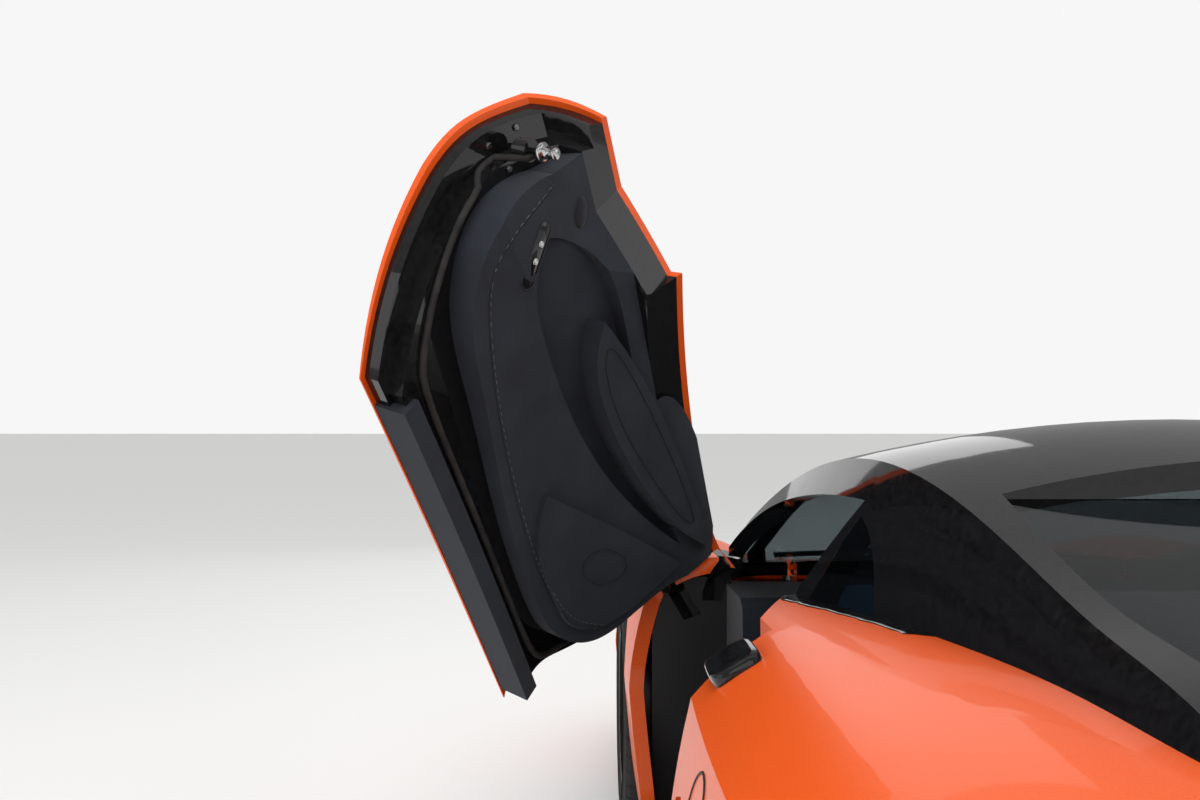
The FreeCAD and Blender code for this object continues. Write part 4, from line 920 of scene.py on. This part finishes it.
def tyre_shape(centre, profile, r_tyre, half):
    """The profile turned about the axle, with sipes cut in the tread's blocks."""
    points, faces = [], []
    for along, radius in profile:
        shift = 2 if along > 0 else 0
        in_block = abs(along) > 0.60 * half or 0.21 * half < abs(along) < 0.52 * half
        for i in range(TREAD_STEPS):
            a = 2 * math.pi * i / TREAD_STEPS
            sipe = (i + shift) % TREAD_PERIOD == 0 and radius > r_tyre - 0.004 and in_block
            reach = radius - SIPE_DEPTH if sipe else radius
            points.append(centre + Vector((along, 0, 0)) + Vector((0, math.cos(a), math.sin(a))) * reach)
    for k in range(len(profile)):
        near, far = k * TREAD_STEPS, (k + 1) % len(profile) * TREAD_STEPS
        for i in range(TREAD_STEPS):
            j = (i + 1) % TREAD_STEPS
            faces.append((near + i, far + i, far + j, near + j))
    return points, faces


def dress_wheel(axle, side, sign):
    x, y, r_tyre, r_rim, half = WHEELS[axle]
    centre = Vector((sign * x, y, GROUND + r_tyre))
    where = "%s_%s" % (axle, side)
    body = "wheel_" + where
    out = Vector((sign, 0, 0))
    face = half - 0.042
    nuts = []
    for i in range(NUTS):
        a = 2 * math.pi * i / NUTS + 0.3
        at = centre + Vector((sign * face, NUT_CIRCLE * math.cos(a), NUT_CIRCLE * math.sin(a)))
        nuts.append(turned([(-0.002, 0.0115), (0.010, 0.0105), (0.014, 0.008)], at, out, 6))
    profile = [(-0.002, 0.032), (0.006, 0.031), (0.009, 0.026), (0.010, 0.012)]
    cap = turned(profile, centre + out * face, out, 40)
    piece("nuts_" + where, joined(*nuts), STEEL, body, AS_IS, False)
    piece("cap_" + where, cap, BLACK, body)
    shape = tyre_shape(centre, tyre_profile(r_tyre, r_rim, half), r_tyre, half)
    tyre = piece("tread_" + where, shape, TYRE, body, AS_IS, False)
    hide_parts("tyre_%s_%s" % (axle, side))


# Floor, world and lamps
FLOOR_HALF = 120
LAMPS = [
    # name, place, aim, width, length, power
    ("ceiling", (0.3, 0.4, 5.4), (0.3, 0.2, 0.4), 10.0, 8.0, 160),
    ("roof_strip", (0.4, 0.9, 5.2), (0.4, 0.6, 0.4), 7.0, 0.35, 14),
    ("left_box", (7.0, 2.6, 3.0), (0.8, 0, 0.8), 6.0, 3.0, 40),
    ("right_box", (-7.0, 1.2, 3.4), (-0.4, 0, 0.6), 6.0, 3.0, 45),
    ("front_box", (0.6, -8.0, 3.4), (0, 0, 0.8), 6.0, 3.0, 45),
    ("rear_box", (0.2, 9.0, 4.2), (0.4, 0, 0.9), 8.0, 4.0, 70),
]


def pale(name, colour, rough):
    """Plain pale surface."""
    m = Shader(name)
    m.set(Base_Color=(*colour, 1), Roughness=rough)
    return m.material


def lay_floor():
    size = FLOOR_HALF
    mesh = bpy.data.meshes.new("floor")
    corners = [(-size, -size, GROUND), (size, -size, GROUND), (size, size, GROUND), (-size, size, GROUND)]
    mesh.from_pydata(corners, [], [(0, 1, 2, 3)])
    floor = bpy.data.objects.new("floor", mesh)
    bpy.context.scene.collection.objects.link(floor)
    floor.data.materials.append(pale("floor", (0.80, 0.80, 0.79), 0.5))


def hang_sky():
    """White light all round; the camera and glass see a plain pale background, gloss a dimmer one."""
    world = bpy.data.worlds.new("studio")
    bpy.context.scene.world = world
    world.use_nodes = True
    tree = world.node_tree

    def glow(node, grey, strength):
        node.inputs["Color"].default_value = (grey, grey, grey, 1)
        node.inputs["Strength"].default_value = strength
        return node.outputs[0]

    def either(fac, first, second):
        mix = tree.nodes.new("ShaderNodeMixShader")
        for source, target in ((fac, "Fac"), (first, 1), (second, 2)):
            tree.links.new(source, mix.inputs[target])
        return mix.outputs[0]

    sky = glow(tree.nodes["Background"], 1, 0.95)
    seen = glow(tree.nodes.new("ShaderNodeBackground"), 0.93, 1.0)
    mirrored = glow(tree.nodes.new("ShaderNodeBackground"), 1, 0.28)
    path = tree.nodes.new("ShaderNodeLightPath")
    direct = tree.nodes.new("ShaderNodeMath")
    direct.operation = "MAXIMUM"
    tree.links.new(path.outputs["Is Camera Ray"], direct.inputs[0])
    tree.links.new(path.outputs["Is Transmission Ray"], direct.inputs[1])
    plain = either(direct.outputs[0], sky, seen)
    shine = either(path.outputs["Is Glossy Ray"], plain, mirrored)
    tree.links.new(shine, tree.nodes["World Output"].inputs["Surface"])


def hang_lamps():
    for name, place, aim, width, length, power in LAMPS:
        lamp = bpy.data.lights.new(name, "AREA")
        lamp.shape = "RECTANGLE"
        lamp.size, lamp.size_y = width, length
        lamp.energy = power
        holder = bpy.data.objects.new(name, lamp)
        holder.visible_glossy = name != "ceiling"
        bpy.context.scene.collection.objects.link(holder)
        holder.location = place
        holder.rotation_euler = (Vector(aim) - Vector(place)).to_track_quat("-Z", "Y").to_euler()


bpy.context.scene.view_settings.view_transform = "Standard"
look_from_behind()
lay_floor()
hang_sky()
hang_lamps()
dress_nodes()
for word, where in DOORS:
    dress_door(word, where)
dress_openings()
dress_screen()
dress_lamps()
dress_plate()
dress_sides()
dress_belt()
for word, where in SIDES:
    dress_seat(word, where)
    dress_vent(word, where)
dress_controls()
for axle_name in WHEELS:
    for word, sign in SIGNS:
        dress_wheel(axle_name, word, sign)
